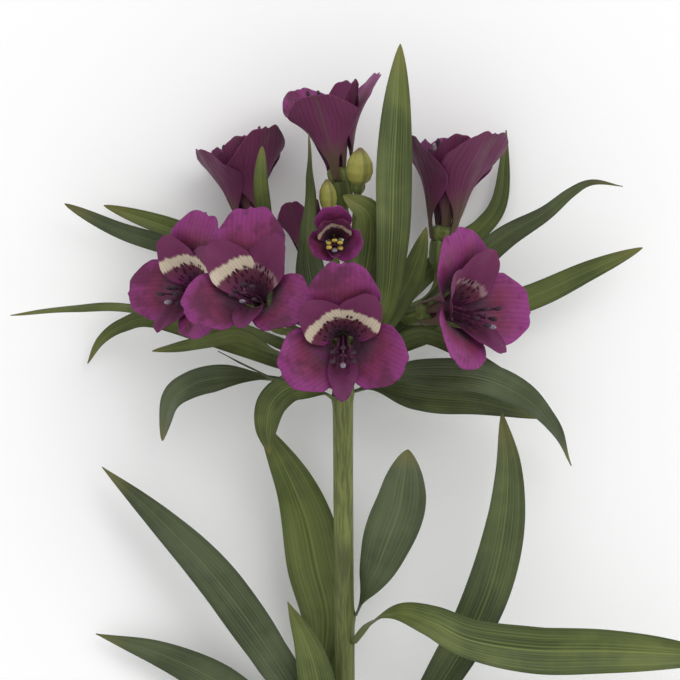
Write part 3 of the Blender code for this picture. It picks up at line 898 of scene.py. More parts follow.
def add_piece(
    name: str, patch: Patch, finishes: Sequence[Finish], node: str, tone: float = 0.0
) -> None:
    """Makes a patch a mesh and puts it in the frame, in place of a node.

    Args:
        name: The piece's name.
        patch: Its surface.
        finishes: Its finishes, in the order that the patch counts them.
        node: The node that it stands for.
        tone: How much lighter or darker than its finish it is, as a share.
    """
    mesh = bpy.data.meshes.new(name)
    mesh.from_pydata(((patch.points + WHORL) * MM).tolist(), [], patch.faces)
    mesh.uv_layers.new(name="blade").data.foreach_set("uv", patch.corner_uv.astype(np.float32).ravel())
    for label, values in (("underside", patch.underside), ("tone", np.full(len(patch.points), tone))):
        attribute = mesh.attributes.new(label, "FLOAT", "POINT")
        attribute.data.foreach_set("value", values.astype(np.float32))
    mesh.polygons.foreach_set("material_index", patch.finish.astype(np.int32))
    for finish in finishes:
        mesh.materials.append(finish.material())
    mesh.shade_smooth()
    mesh.update()
    obj = bpy.data.objects.new(name, mesh)
    bpy.context.scene.collection.objects.link(obj)
    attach(obj, BODY)
    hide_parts(node)
    LOG.info("%s stands for %s with %d faces", name, node, len(mesh.polygons))


# The stem


@dataclass(frozen=True)
class Root:
    """Where a blade starts, and the direction across it there."""

    point: Vector3
    across: Vector3


@dataclass(frozen=True)
class Shoot:
    """The stem's centre line, its thickness and the swollen head that carries leaves and flowers.

    A cushion swells round each leaf's root, and a ridge runs down from it. Both are told as height, length
    along the stem and angle round it.
    """

    length: float = 390.0
    foot_height: float = 3.6
    head_height: float = 38.0
    rise: float = 1.25
    foot_radius: float = 3.9
    top_radius: float = 3.4
    head_radius: float = 4.8
    head_length: float = 5.0
    sides: int = 60
    rings: int = 320
    rib_height: float = 0.09
    ribs: int = 14
    rib_twist: float = 0.004
    sway: float = 2.2
    root_sinking: float = 0.65
    cushion: Vector3 = (0.55, 2.2, 0.38)
    ridge: Vector3 = (0.28, 16.0, 0.16)
    head_profile: tuple = ((0, 0.72), (0.33, 1), (0.6, 0.97), (0.85, 0.8), (1, 0.45))
    head_rings: int = 23
    cut_bulge: float = 0.12
    cut_sides: int = 40

    def centre(self, y: np.ndarray | float) -> np.ndarray:
        """Gives the centre line.

        Args:
            y: The distance from the whorl, below 0 towards the foot.

        Returns:
            Its points.
        """
        share = np.clip((np.asarray(y, float) + self.length) / self.length, 0.0, None)
        z = self.foot_height + (self.head_height - self.foot_height) * share**self.rise
        x = self.sway * (1.0 - share) * np.sin(math.pi * share)
        return np.stack([x, np.asarray(y, float), z], axis=-1)

    def radius(self, y: np.ndarray | float) -> np.ndarray:
        """Gives the stem's radius, which grows evenly towards the foot."""
        share = np.clip(-np.asarray(y, float) / self.length, 0.0, 1.0)
        return self.top_radius + (self.foot_radius - self.top_radius) * share

    def root(self, y: float, angle: float) -> Root:
        """Gives a leaf's root on the stem's skin.

        Args:
            y: Its place along the stem.
            angle: Its place round it in degrees, 0 on the right, 90 on top and 180 on the left.

        Returns:
            The root, with the direction round the stem as the direction across the blade.
        """
        turn = math.radians(angle)
        outwards = np.array([math.cos(turn), 0.0, math.sin(turn)])
        point = self.centre(y) + outwards * (self.radius(y) + self.root_sinking)
        return Root(tuple(point), (-math.sin(turn), 0.0, math.cos(turn)))

    def build(self, leaves: Sequence[Leaf]) -> None:
        """Makes the ribbed stem with a low cushion and a fading ridge below each leaf, and its cut end.

        Args:
            leaves: The leaves that grow from it.
        """
        shoot = np.linspace(-self.length, -self.head_length / 2, self.rings)
        head = np.linspace(-self.head_length / 2, self.head_length, self.head_rings + 1)[1:]
        y = np.concatenate([shoot, head])
        swelling = smooth_profile(self.head_profile, np.linspace(0, 1, self.head_rings))
        plain = np.concatenate([self.radius(shoot), swelling * self.head_radius])
        angles = ring(self.sides)
        ribs = self.rib_height * np.cos(self.ribs * angles + self.rib_twist * y[:, None])
        radii = plain[:, None] + ribs
        for leaf in leaves:
            radii = radii + self.swelling(leaf, angles, leaf.along_stem - y[:, None])
        stem = tube_patch(self.centre(y), radii, across=LEFT)
        add_piece("stem_shoot", stem, [ShootSkin("stem skin")], "stem")
        self.build_cut_end()

    def swelling(self, leaf: Leaf, angles: np.ndarray, below: np.ndarray) -> np.ndarray:
        """Works out how far the stem swells at a leaf, h · exp(−(y/l)² − (a/w)²), with a fading ridge below.

        Args:
            leaf: The leaf.
            angles: The angles round the stem.
            below: How far below the leaf's root each ring is.

        Returns:
            What the leaf adds to the radius.
        """
        turn = np.angle(np.exp(1j * (angles - math.radians(leaf.round_stem) + math.pi)))
        height, length, width = self.cushion
        cushion = height * np.exp(-((below / length) ** 2) - (turn / width) ** 2)
        height, length, width = self.ridge
        ridge = height * smooth_step(-1.0, 1.0, below) * np.exp(-below / length - (turn / width) ** 2)
        return cushion + np.where(below > -1.0, ridge, 0.0)

    def build_cut_end(self) -> None:
        """Makes the pale cut face: a shallow disc just proud of the stem's end."""
        share = np.array([0.0, 0.35, 0.7, 0.9, 1.0])
        past_end = -self.cut_bulge * np.array([1.4, 1.0, 0.8, 0.5, 0.0])
        path = self.centre(-self.length) + past_end[:, None] * TOWARDS_FLOWERS
        radii = self.foot_radius * (0.97 - 0.03 * (1 - share))[:, None] * np.ones((1, self.cut_sides))
        add_piece("stem_cut_end", tube_patch(path, radii), [CutPith("stem pith")], "stem")


SHOOT = Shoot()


# Leaves


@dataclass(frozen=True)
class Leaf:
    """A lance-shaped leaf.

    The fields after its green are the same for every leaf on the stem: how finely it is divided, then
    sizes in millimetres, shares and counts that its surface is worked out from.

    Attributes:
        name: The node that it stands for.
        along_stem: Its root's place along the stem.
        round_stem: Its root's place round the stem, in degrees.
        midrib: The points of its midrib after the root.
        width: Its greatest width.
        faces: Which way its upper face looks, from near its root to its tip.
        widest: The share of its length where it is widest.
        fold: How steeply its halves rise from the midrib.
        wave: How far its edges ripple.
        tint: Its green.
    """

    name: str
    along_stem: float
    round_stem: float
    midrib: tuple[Vector3, ...]
    width: float
    faces: tuple[Vector3, ...] = (UP,)
    widest: float = 0.45
    fold: float = 0.18
    wave: float = 0.0
    tint: Tint = Tint.GREEN
    rows: int = 90
    columns: int = 36
    taper: float = 1.9
    root_half_width: float = 1.3
    tip_half_width: float = 0.12
    shoulder_half_width: float = 0.35
    veins: int = 6
    vein_height: float = 0.035
    crease: float = 0.03
    jag: float = 0.02
    unevenness: float = 0.025
    turned_at: float = 0.3
    thinnest: float = 0.24
    midrib_thickness: float = 0.34
    root_thickness: float = 0.5
    edge_thinning: float = 0.45

    def start(self) -> Root:
        """Gives the leaf's root on the stem."""
        return SHOOT.root(self.along_stem, self.round_stem)

    def seed(self) -> int:
        """Gives a number of the leaf's own for its random draws."""
        return sum(ord(letter) * (place + 3) for place, letter in enumerate(self.name))

    def half_width(self, share: np.ndarray) -> np.ndarray:
        """Works out the outline, (s/w)^(kw) · ((1−s)/(1−w))^(k(1−w)) with w the widest place and k the taper.

        Args:
            share: The shares along the leaf.

        Returns:
            Half the width at each.
        """
        body = (share / self.widest) ** (self.taper * self.widest)
        body = body * ((1.0 - share) / (1.0 - self.widest)) ** (self.taper * (1.0 - self.widest))
        half = (self.width / 2 - self.shoulder_half_width) * body
        half = half + self.tip_half_width + (self.shoulder_half_width - self.tip_half_width) * (1 - share**6)
        return half + (self.root_half_width - self.shoulder_half_width) * (1.0 - share) ** 6

    def frame(self) -> tuple[np.ndarray, np.ndarray, np.ndarray]:
        """Carries the blade's directions along its midrib.

        Its face turns from the stem's side at the root to the faces that are told.

        Returns:
            The midrib, and at each of its points the directions across the blade and out of its face.
        """
        root = self.start()
        path = smooth_path((root.point, *self.midrib), self.rows)
        along = directions(path)
        share = np.linspace(0.0, 1.0, self.rows + 1)
        keys = np.vstack([unit(np.cross(root.across, along[0])), unit(self.faces), unit(self.faces[-1])])
        places = np.concatenate([[0.0], np.linspace(self.turned_at, 1.0, len(keys) - 1)])
        face = np.stack([np.interp(share, places, axis) for axis in keys.T], axis=1)
        across = unit(np.cross(along, face))
        return path, across, np.cross(across, along)

    def lift(self, s: np.ndarray, t: np.ndarray, half: np.ndarray, random: np.random.Generator) -> np.ndarray:
        """Works out how far the blade stands off the plane through its midrib.

        Its halves rise by the fold, its edges ripple by sine waves, the midrib is sunk, and the veins stand
        up as low ridges.

        Args:
            s: The shares along it.
            t: The places across it, from −1 to 1.
            half: Half its width at each share.
            random: The source of the finer waves.

        Returns:
            The height of each point.
        """
        ripple = self.wave * np.sin(4 * math.pi * s + 1.3 * t) * t**2
        jagged = np.sin(random.uniform(24, 34) * s + 2.5 * np.sign(t) + random.uniform(0, 6))
        fine = self.jag * self.width * jagged * np.abs(t) ** 3 * smooth_step(0.08, 0.3, s)
        crease = -self.crease * half * hump(t, 0.09)
        wave = self.vein_height * np.cos(2 * math.pi * self.veins * t)
        veins = wave * (half / (self.width / 2)) * (np.abs(t) < 0.97)
        return self.fold * np.abs(t) * half + ripple + fine + crease + veins

    def surface(self) -> tuple[np.ndarray, np.ndarray]:
        """Works out the middle surface, and the thickness, which is greatest at the midrib and the root.

        Returns:
            The middle surface and the thickness at each of its points.
        """
        random = np.random.default_rng(self.seed())
        path, across, normal = self.frame()
        t = np.linspace(-1.0, 1.0, self.columns + 1)[None, :]
        s = np.linspace(0.0, 1.0, self.rows + 1)[:, None]
        sway = 1.0 + self.unevenness * np.sin(9.0 * s + random.uniform(0, 6)) * t
        half = self.half_width(s)
        lift = self.lift(s, t, half, random)
        sideways = across[:, None] * (t * half * sway)[..., None]
        surface = path[:, None] + sideways + normal[:, None] * lift[..., None]
        midrib = self.midrib_thickness * hump(t, 0.16) * (1 - 0.7 * s)
        thickness = self.thinnest + midrib + self.root_thickness * (1 - s) ** 12
        return surface, thickness * (1.0 - self.edge_thinning * np.abs(t) ** 6)

    def build(self) -> None:
        """Makes the leaf and puts it in the place of its node."""
        surface, thickness = self.surface()
        tone = float(np.random.default_rng(self.seed() + 1).uniform(-0.07, 0.07))
        patch = blade_patch(surface, thickness)
        add_piece(f"{self.name}_blade", patch, [self.tint.value], self.name, tone)


STEM_LEAVES = (
    Leaf(
        "leaf_stem_left_long", -127, 190,
        (
            (-7, -118, 20), (-5.5, -98, 16.5), (-9.5, -80, 15),
            (-13.5, -62, 16), (-21, -44, 20), (-31.7, -24.5, 26),
        ),
        20.5, faces=((-0.2, 0, 1), (0, 0, 1), (0.3, 0, 1)), wave=0.4,
    ),
    Leaf(
        "leaf_stem_left_low", -142, 170,
        ((-14, -130, 24), (-28, -108, 24), (-46, -84, 22), (-66, -63, 18), (-87.5, -43.6, 13)),
        15.5, faces=((-0.2, -0.2, 1), (0.1, 0, 1)), tint=Tint.GREY, wave=0.4,
    ),
    Leaf(
        "leaf_stem_left_bottom", -166, 200,
        ((-11, -155, 16), (-26, -138, 13), (-46, -121.5, 11), (-68, -111, 9), (-90, -104.5, 6)),
        15.5, faces=((0, -0.3, 1),), tint=Tint.GREY,
    ),
    Leaf(
        "leaf_stem_centre_low", -158, 120,
        ((-5.5, -148, 30), (-7.5, -130, 34), (-11.5, -111, 34), (-20, -92, 30)),
        14.5, faces=((-0.3, 0, 1),),
    ),
    Leaf(
        "leaf_stem_right_oval", -97, 0,
        ((9.5, -87, 28), (15, -73, 32), (20, -59, 35), (22, -48, 36), (23.3, -37, 35)),
        19.0, faces=((-0.2, 0, 1), (0.1, 0.1, 1)), widest=0.6, fold=0.1, tint=Tint.GREY, wave=0.3,
    ),
    Leaf(
        "leaf_stem_right_tall", -163, -20,
        (
            (15, -150, 21), (30, -130, 25), (44, -108, 30), (53, -88, 33),
            (58, -66, 34), (59.5, -44, 34), (57.3, -23.4, 32),
        ),
        16.5, faces=((-0.5, 0.3, 1), (-0.35, 0, 1), (0.1, 0, 1)), widest=0.55, fold=0.35, tint=Tint.DARK,
    ),
    Leaf(
        "leaf_stem_right_flat", -107, 35,
        (
            (11, -99, 37), (20, -95.6, 43), (32, -99, 46), (46, -105.5, 46),
            (68, -109, 44), (95, -109.5, 40), (122, -111, 34), (140, -113, 28),
        ),
        17.0, faces=((-0.1, 0.5, 1), (0, -0.1, 1), (0, 0.1, 1)), widest=0.55, wave=0.5,
    ),
    Leaf(
        "leaf_stem_foot_right_high", -188, 10,
        ((12, -181, 20), (30, -168, 21), (54, -158, 19), (84, -151, 13)),
        15.0, faces=((0, 0.2, 1),),
    ),
    Leaf(
        "leaf_stem_foot_left_high", -206, 175,
        ((-12, -198, 17), (-30, -183, 17), (-55, -169, 14), (-82, -158, 8)),
        15.0, faces=((0, 0.1, 1),),
    ),
    Leaf(
        "leaf_stem_foot_top", -226, 100,
        ((-3, -216, 25), (-7, -196, 31), (-8, -176, 34), (-5, -160, 40)),
        13.0, faces=((-0.1, 0, 1),), tint=Tint.GREY,
    ),
    Leaf(
        "leaf_stem_foot_right_low", -250, -5,
        ((11, -244, 9), (25, -236, 3.5), (38, -230, 0.3), (58, -225, 0), (78, -222, 0)),
        14.0, fold=0.0,
    ),
    Leaf(
        "leaf_stem_foot_left_low", -274, 185,
        ((-10, -268, 7), (-22, -260, 3), (-33, -254, 0.3), (-50, -248, 0), (-66, -245, 0)),
        12.0, fold=0.0, tint=Tint.GREY,
    ),
)

WHORL_LEAVES = (
    Leaf(
        "leaf_whorl_top_tall", -4, 38,
        ((10, 1, 42), (15.5, 16, 50), (17.5, 38, 53), (18.2, 62, 50), (19.5, 86, 47), (20.6, 109, 43)),
        13.0, faces=((0.1, -0.3, 1), (0.1, 0, 1), (-0.1, 0, 1)), widest=0.58, fold=0.25,
    ),
    Leaf(
        "leaf_whorl_top_dark", -4, 118,
        ((-7, 3, 45), (-10, 18, 46), (-13, 34, 46), (-12.3, 56, 46), (-12.3, 77, 44)),
        12.0, faces=((0.1, 0, 1), (0.8, 0, 0.6), (0.9, 0, 0.45)), widest=0.4, tint=Tint.DARK,
    ),
    Leaf(
        "leaf_whorl_top_centre", -9, 78,
        ((3.5, -1, 45.5), (6.5, 18, 46), (9.5, 36, 46), (9, 48, 48), (0, 54.5, 50)),
        14.0, faces=((0, -0.1, 1),), widest=0.6,
    ),
    Leaf(
        "leaf_whorl_top_inner_right", -5, 4,
        ((10, 1.5, 39), (17, 12, 42.2), (25, 27, 45), (30, 43, 45.5)),
        9.5, faces=((0.2, 0, 1),), widest=0.55, fold=0.1,
    ),
    Leaf(
        "leaf_whorl_right_behind", -6, -48,
        ((9, 4, 25), (24, 20, 13), (40, 36, 8), (51, 44, 7), (57.5, 55, 6), (59.5, 79, 5)),
        7.5, faces=((0, 0, 1),), widest=0.55,
    ),
    Leaf(
        "leaf_whorl_right_curved", -7, -12,
        (
            (11, -1, 29), (24, 6, 24), (36, 16, 25), (47, 30, 28), (58, 40, 31),
            (72, 48, 34), (82, 56, 34), (90, 59.5, 33), (101, 58, 31),
        ),
        11.5, faces=((0, 0.1, 1), (0.2, -0.6, 1), (0, -1.2, 1)), widest=0.42, tint=Tint.DARK,
    ),
    Leaf(
        "leaf_whorl_right_straight", -10, -25,
        ((12, -5, 27), (38, 8, 16), (69, 18.5, 15), (90, 28, 17), (108.7, 36, 17)),
        9.5, faces=((0, -0.1, 1),), widest=0.6,
    ),
    Leaf(
        "leaf_whorl_right_broad", -16, -12,
        ((12, -15, 34), (30, -18, 31), (50, -20, 27), (72, -26, 22)),
        11.5, faces=((0, 0.2, 1),), tint=Tint.DARK,
    ),
    Leaf(
        "leaf_whorl_right_arched", -12, 28,
        ((13, -10.5, 43), (31, -10, 47), (50, -11.5, 45), (65, -18, 39), (76, -29, 30), (82.8, -43, 19)),
        12.0, faces=((0, 0.4, 1), (0.1, 0.2, 1), (0.5, 0.3, 0.8)), widest=0.42, fold=0.3, tint=Tint.GREY,
    ),
    Leaf(
        "leaf_whorl_right_small", -9, 12,
        ((13, -3, 38), (28, 4, 41), (44, -2, 39), (60, -9.5, 33)),
        6.0, faces=((0, 0.1, 1),),
    ),
    Leaf(
        "leaf_whorl_left_upper", -6, 168,
        (
            (-7.7, 1.0, 37.8), (-13, 6.5, 34.3), (-22, 14.5, 29.5), (-35, 24, 24),
            (-48, 31, 20), (-62, 36.5, 17), (-82, 43, 17), (-101, 52, 16),
        ),
        8.0, faces=((0, 0, 1), (0, -0.6, 1)), widest=0.64, tint=Tint.GREY,
    ),
    Leaf(
        "leaf_whorl_left_top", -9, 240,
        ((-10, 7, 19), (-28, 22, 10), (-46, 35, 8), (-62, 43, 9), (-87, 51.5, 9)),
        8.5, faces=((0, 0, 1),), widest=0.62,
    ),
    Leaf(
        "leaf_whorl_left_thin", -11, 205,
        ((-14, -3, 29), (-42, 9, 21), (-77, 14.5, 20), (-97, 14.3, 20), (-120.6, 11.5, 17)),
        6.5, faces=((0, -1, 0.8), (0, -1, 0.6)), widest=0.55,
    ),
    Leaf(
        "leaf_whorl_left_hooked", -15, 215,
        ((-14, -9, 25), (-40, 1, 15), (-68, 10, 11), (-80, 8, 10), (-88, 2.5, 8), (-93, -6, 5)),
        7.0, faces=((0, -0.2, 1), (0, 0, 1)), widest=0.55,
    ),
    Leaf(
        "leaf_whorl_left_small", -10, 172,
        ((-11, -6, 38), (-24, -1.5, 36), (-37, 4, 33), (-46, 3, 31), (-56, 0.8, 29), (-69, -1.5, 27)),
        6.0, faces=((0, -1, 0.3), (0, -0.2, 1), (0, -0.6, 1)), widest=0.6,
    ),
    Leaf(
        "leaf_whorl_left_edge", -13, 148,
        ((-8, -13, 46), (-16, -12.5, 50), (-25, -11, 50), (-33, -7.5, 48), (-45, -1.5, 43)),
        5.0, faces=((0, -1, 0.15), (0, -1, 0.15)), tint=Tint.DARK,
    ),
    Leaf(
        "leaf_whorl_left_arched", -18, 185,
        (
            (-13, -14, 37), (-30, -11.5, 37), (-45, -11.5, 36),
            (-55, -14, 33), (-62, -20, 28), (-65.5, -34, 17),
        ),
        10.5, faces=((0, 1, 0.15), (-0.1, 0.3, 1), (-0.6, 0.2, 0.8)), widest=0.62, fold=0.25, tint=Tint.GREY,
    ),
    Leaf(
        "leaf_whorl_left_low", -19, 140,
        ((-10, -15, 42), (-19, -14.5, 43), (-25.5, -20, 41), (-27.5, -29, 36), (-26.5, -39, 31)),
        11.0, faces=((0, -0.2, 1), (-0.1, 0, 1)), widest=0.5,
    ),
)


@dataclass(frozen=True)
class Bract(Leaf):
    """A narrow leaf that grows from a flower stalk."""

    point: Vector3 = (0.0, 0.0, 0.0)

    def start(self) -> Root:
        """Gives the bract's root on the flower stalk."""
        return Root(self.point, RIGHT)


BRACT = Bract(
    "bract_upper_left",
    0,
    0,
    ((-27, 30, 24), (-26.8, 38, 33), (-28.5, 50, 44), (-29.5, 61, 50.5), (-29, 72, 53)),
    5.6,
    widest=0.66,
    columns=20,
    point=(-27.3, 25.2, 18.9),
)


# Flowers

# A tepal's midrib seen from its side, as radius and height, in a shut bud and in an open bloom
SHUT_MIDRIB = ((1.6, 0.8), (3.4, 8), (5.0, 16), (6.2, 23), (6.8, 31), (5.8, 40))
OPEN_MIDRIB = ((1.6, 0.8), (2.7, 8), (5.4, 16), (11.2, 22.5), (19, 27), (29.5, 28))
MIDRIB_STEPS = 120


@dataclass(frozen=True)
class Tepal:
    """One of the six petals of a flower.

    The fields after its columns are the same for all: sizes in millimetres, shares and counts that its
    surface is worked out from.

    Attributes:
        azimuth: Its place round the flower in degrees.
        outer: True for the outer three.
        length: Its length as a share of the midrib.
        half_width: Half its greatest width.
        notch: How deep its tip is notched.
        openness: How much further out it leans than its flower does.
        finish: Which of the flower's finishes it wears.
        columns: How many strips it has across.
    """

    azimuth: float
    outer: bool
    length: float
    half_width: float
    notch: float = 0.0
    openness: float = 0.0
    finish: int = 0
    columns: int = 34
    rows: int = 48
    layer_step: float = 2.0
    claw_half_width: float = 1.5
    corner_fall: float = 0.3
    corner_roundness: float = 2.3
    notch_half_width: float = 0.24
    widens_from: float = 0.14
    widens_to: float = 0.66
    veins: int = 5
    vein_height: float = 0.05
    ripple: float = 0.5
    crimp: float = 0.4
    buckle: float = 0.35
    keel: float = 0.5
    edge_wave: float = 0.006
    flattening: float = 0.75
    row_spread: float = 0.85
    thinnest: float = 0.2

    def outline(self, t: np.ndarray, phase: float) -> np.ndarray:
        """Works out the end of the blade, with its round corners, its notch and a soft wave.

        Args:
            t: The places across it, from −1 to 1.
            phase: Where the wave starts.

        Returns:
            The share of its length that each place reaches to.
        """
        end = 1.0 - self.corner_fall * np.abs(t) ** self.corner_roundness
        end = end - self.notch * (hump(t, self.notch_half_width) - 0.5 * hump(t, 0.06))
        return end + self.edge_wave * np.sin(13.0 * t + phase)

    def relief(self, t: np.ndarray, share: np.ndarray, random: np.random.Generator) -> np.ndarray:
        """Works out the crimped rim, the buckles, the vein ridges and the keel that fades from the claw.

        Args:
            t: The places across it, from −1 to 1.
            share: The shares along it.
            random: The source of the waves.

        Returns:
            The height of each point.
        """
        crimp = np.sin(random.uniform(15, 20) * share + 4.0 * t + random.uniform(0, 6)) * np.abs(t) ** 4
        buckle = np.sin(7.0 * t + random.uniform(0, 6)) * np.sin(8.0 * share + random.uniform(0, 6))
        waves = (self.crimp * crimp + self.buckle * buckle) * smooth_step(0.45, 0.8, share)
        veins = np.cos(2 * math.pi * self.veins * t) * smooth_step(0.2, 0.5, share)
        keel = hump(t, 0.12) * (1.0 - share) * smooth_step(0.15, 0.4, share)
        return waves + self.vein_height * veins - self.keel * keel

    def surface(self, flower_openness: float, phase: float, random: np.random.Generator) -> np.ndarray:
        """Works out the middle surface in the flower's own frame, with its axis along z.

        The claw bends round the flower, and the blade flattens out towards its tip.

        Args:
            flower_openness: How open the flower is, from 0 to 1.
            phase: Where the slow wave of the rim starts.
            random: The source of the finer waves.

        Returns:
            A grid of points, rows from the claw to the tip.
        """
        opening = flower_openness + self.openness
        midrib = np.array(SHUT_MIDRIB) + (np.array(OPEN_MIDRIB) - SHUT_MIDRIB) * opening
        path = smooth_path(midrib, MIDRIB_STEPS)
        slope = directions(path)
        if self.outer:
            path = path + np.stack([slope[:, 1], -slope[:, 0]], axis=1) * self.layer_step
        t = np.linspace(1.0, -1.0, self.columns + 1)[None, :]
        share = np.linspace(0.0, 1.0, self.rows + 1)[:, None] ** self.row_spread * self.outline(t, phase)
        at = share * self.length * MIDRIB_STEPS
        steps = np.arange(MIDRIB_STEPS + 1)
        radius, height, out, rise = (np.interp(at, steps, values) for values in (*path.T, *slope.T))
        widening = smooth_step(self.widens_from, self.widens_to, share)
        half = self.claw_half_width + (self.half_width - self.claw_half_width) * widening
        wrap = 1.0 - self.flattening * smooth_step(0.3, 0.8, share)
        turn = t * half * wrap / radius
        ripple = self.ripple * np.sin(3.0 * t + phase) * t**2 * smooth_step(0.5, 1.0, share)
        inwards = radius / wrap * (1.0 - np.cos(turn)) + ripple + self.relief(t, share, random)
        sideways = radius / wrap * np.sin(turn)
        flat = np.stack([radius - inwards * rise, sideways, height + inwards * out], axis=-1)
        azimuth = math.radians(self.azimuth)
        cos, sin = math.cos(azimuth), math.sin(azimuth)
        return flat @ np.array([[cos, sin, 0.0], [-sin, cos, 0.0], [0.0, 0.0, 1.0]])

    def thickness(self) -> np.ndarray:
        """Gives the tepal's thickness: fleshy at the claw and the midrib, thin at the rim.

        Returns:
            The thickness at each point of its surface.
        """
        t = np.linspace(1.0, -1.0, self.columns + 1)[None, :]
        share = np.linspace(0.0, 1.0, self.rows + 1)[:, None]
        fleshy = self.thinnest + 0.3 * (1 - share) ** 2 + 0.14 * hump(t, 0.1)
        return fleshy * (1.0 - 0.4 * np.abs(t) ** 6)


SIX_TEPALS = (
    Tepal(92, True, 0.97, 13.0, notch=0.05),
    Tepal(212, True, 0.88, 12.0, notch=0.03),
    Tepal(334, True, 0.88, 12.0, notch=0.03),
    Tepal(138, False, 0.84, 8.2, openness=-0.14, finish=1, columns=26),
    Tepal(56, False, 0.84, 8.2, openness=-0.14, finish=2, columns=26),
    Tepal(272, False, 0.80, 5.2, openness=-0.04, finish=3, columns=22),
)


@dataclass(frozen=True)
class Stalk:
    """A flower stalk from the head of the stem, which swells below its flower."""

    end: Vector3
    axis: Vector3
    leaves_stem: Vector3
    radius: float
    swelling: float
    thickness: float = 1.3
    sides: int = 36
    bow: float = 0.42
    ribs: int = 6
    faint_rib: float = 0.03
    curve_steps: int = 45
    swelling_steps: int = 26

    def patch(self, rib: float) -> Patch:
        """Runs a Bezier curve from the head, then straight through the swelling.

        Args:
            rib: How far the six ribs of the swelling stand out, as a share of its radius.

        Returns:
            A closed tube.
        """
        axis, leaving = unit(self.axis), unit(self.leaves_stem)
        start = np.array([0.0, 0.5, SHOOT.head_height]) + leaving * 0.5
        neck = np.array(self.end, float) - axis * self.swelling
        reach = self.bow * np.linalg.norm(neck - start)
        t = np.linspace(0.0, 1.0, self.curve_steps + 1)[:, None]
        first, second = start + leaving * reach, neck - axis * reach * 0.8
        s = 1 - t
        curve = s**3 * start + 3 * s**2 * t * first + 3 * s * t**2 * second + t**3 * neck
        share = np.linspace(0.0, 1.0, self.swelling_steps + 1)[1:]
        path = np.vstack([curve, neck + axis * share[:, None] * (self.swelling + 0.6)])
        narrow = ((0, self.thickness), (0.12, self.thickness * 1.1), (0.34, self.radius * 0.84))
        wide = ((0.62, self.radius), (0.9, self.radius * 0.97), (1, self.radius * 0.9))
        swelling = smooth_profile((*narrow, *wide), share)
        plain = np.concatenate([self.thickness * (1.0 + 0.14 * (2 * t[:, 0] - 1) ** 4), swelling])
        growing = self.faint_rib + (rib - self.faint_rib) * smooth_step(0.05, 0.4, share)
        amount = np.concatenate([np.full(len(t), self.faint_rib), growing])
        angles = ring(self.sides)
        radii = plain[:, None] * (1.0 + amount[:, None] * np.cos(self.ribs * angles))
        return tube_patch(path, radii)


# The places of the seat's, the anthers' and the grey anther's finish in their pieces' lists
SEAT_FINISH, ANTHER_FINISH, PALE_FINISH = 4, 1, 2


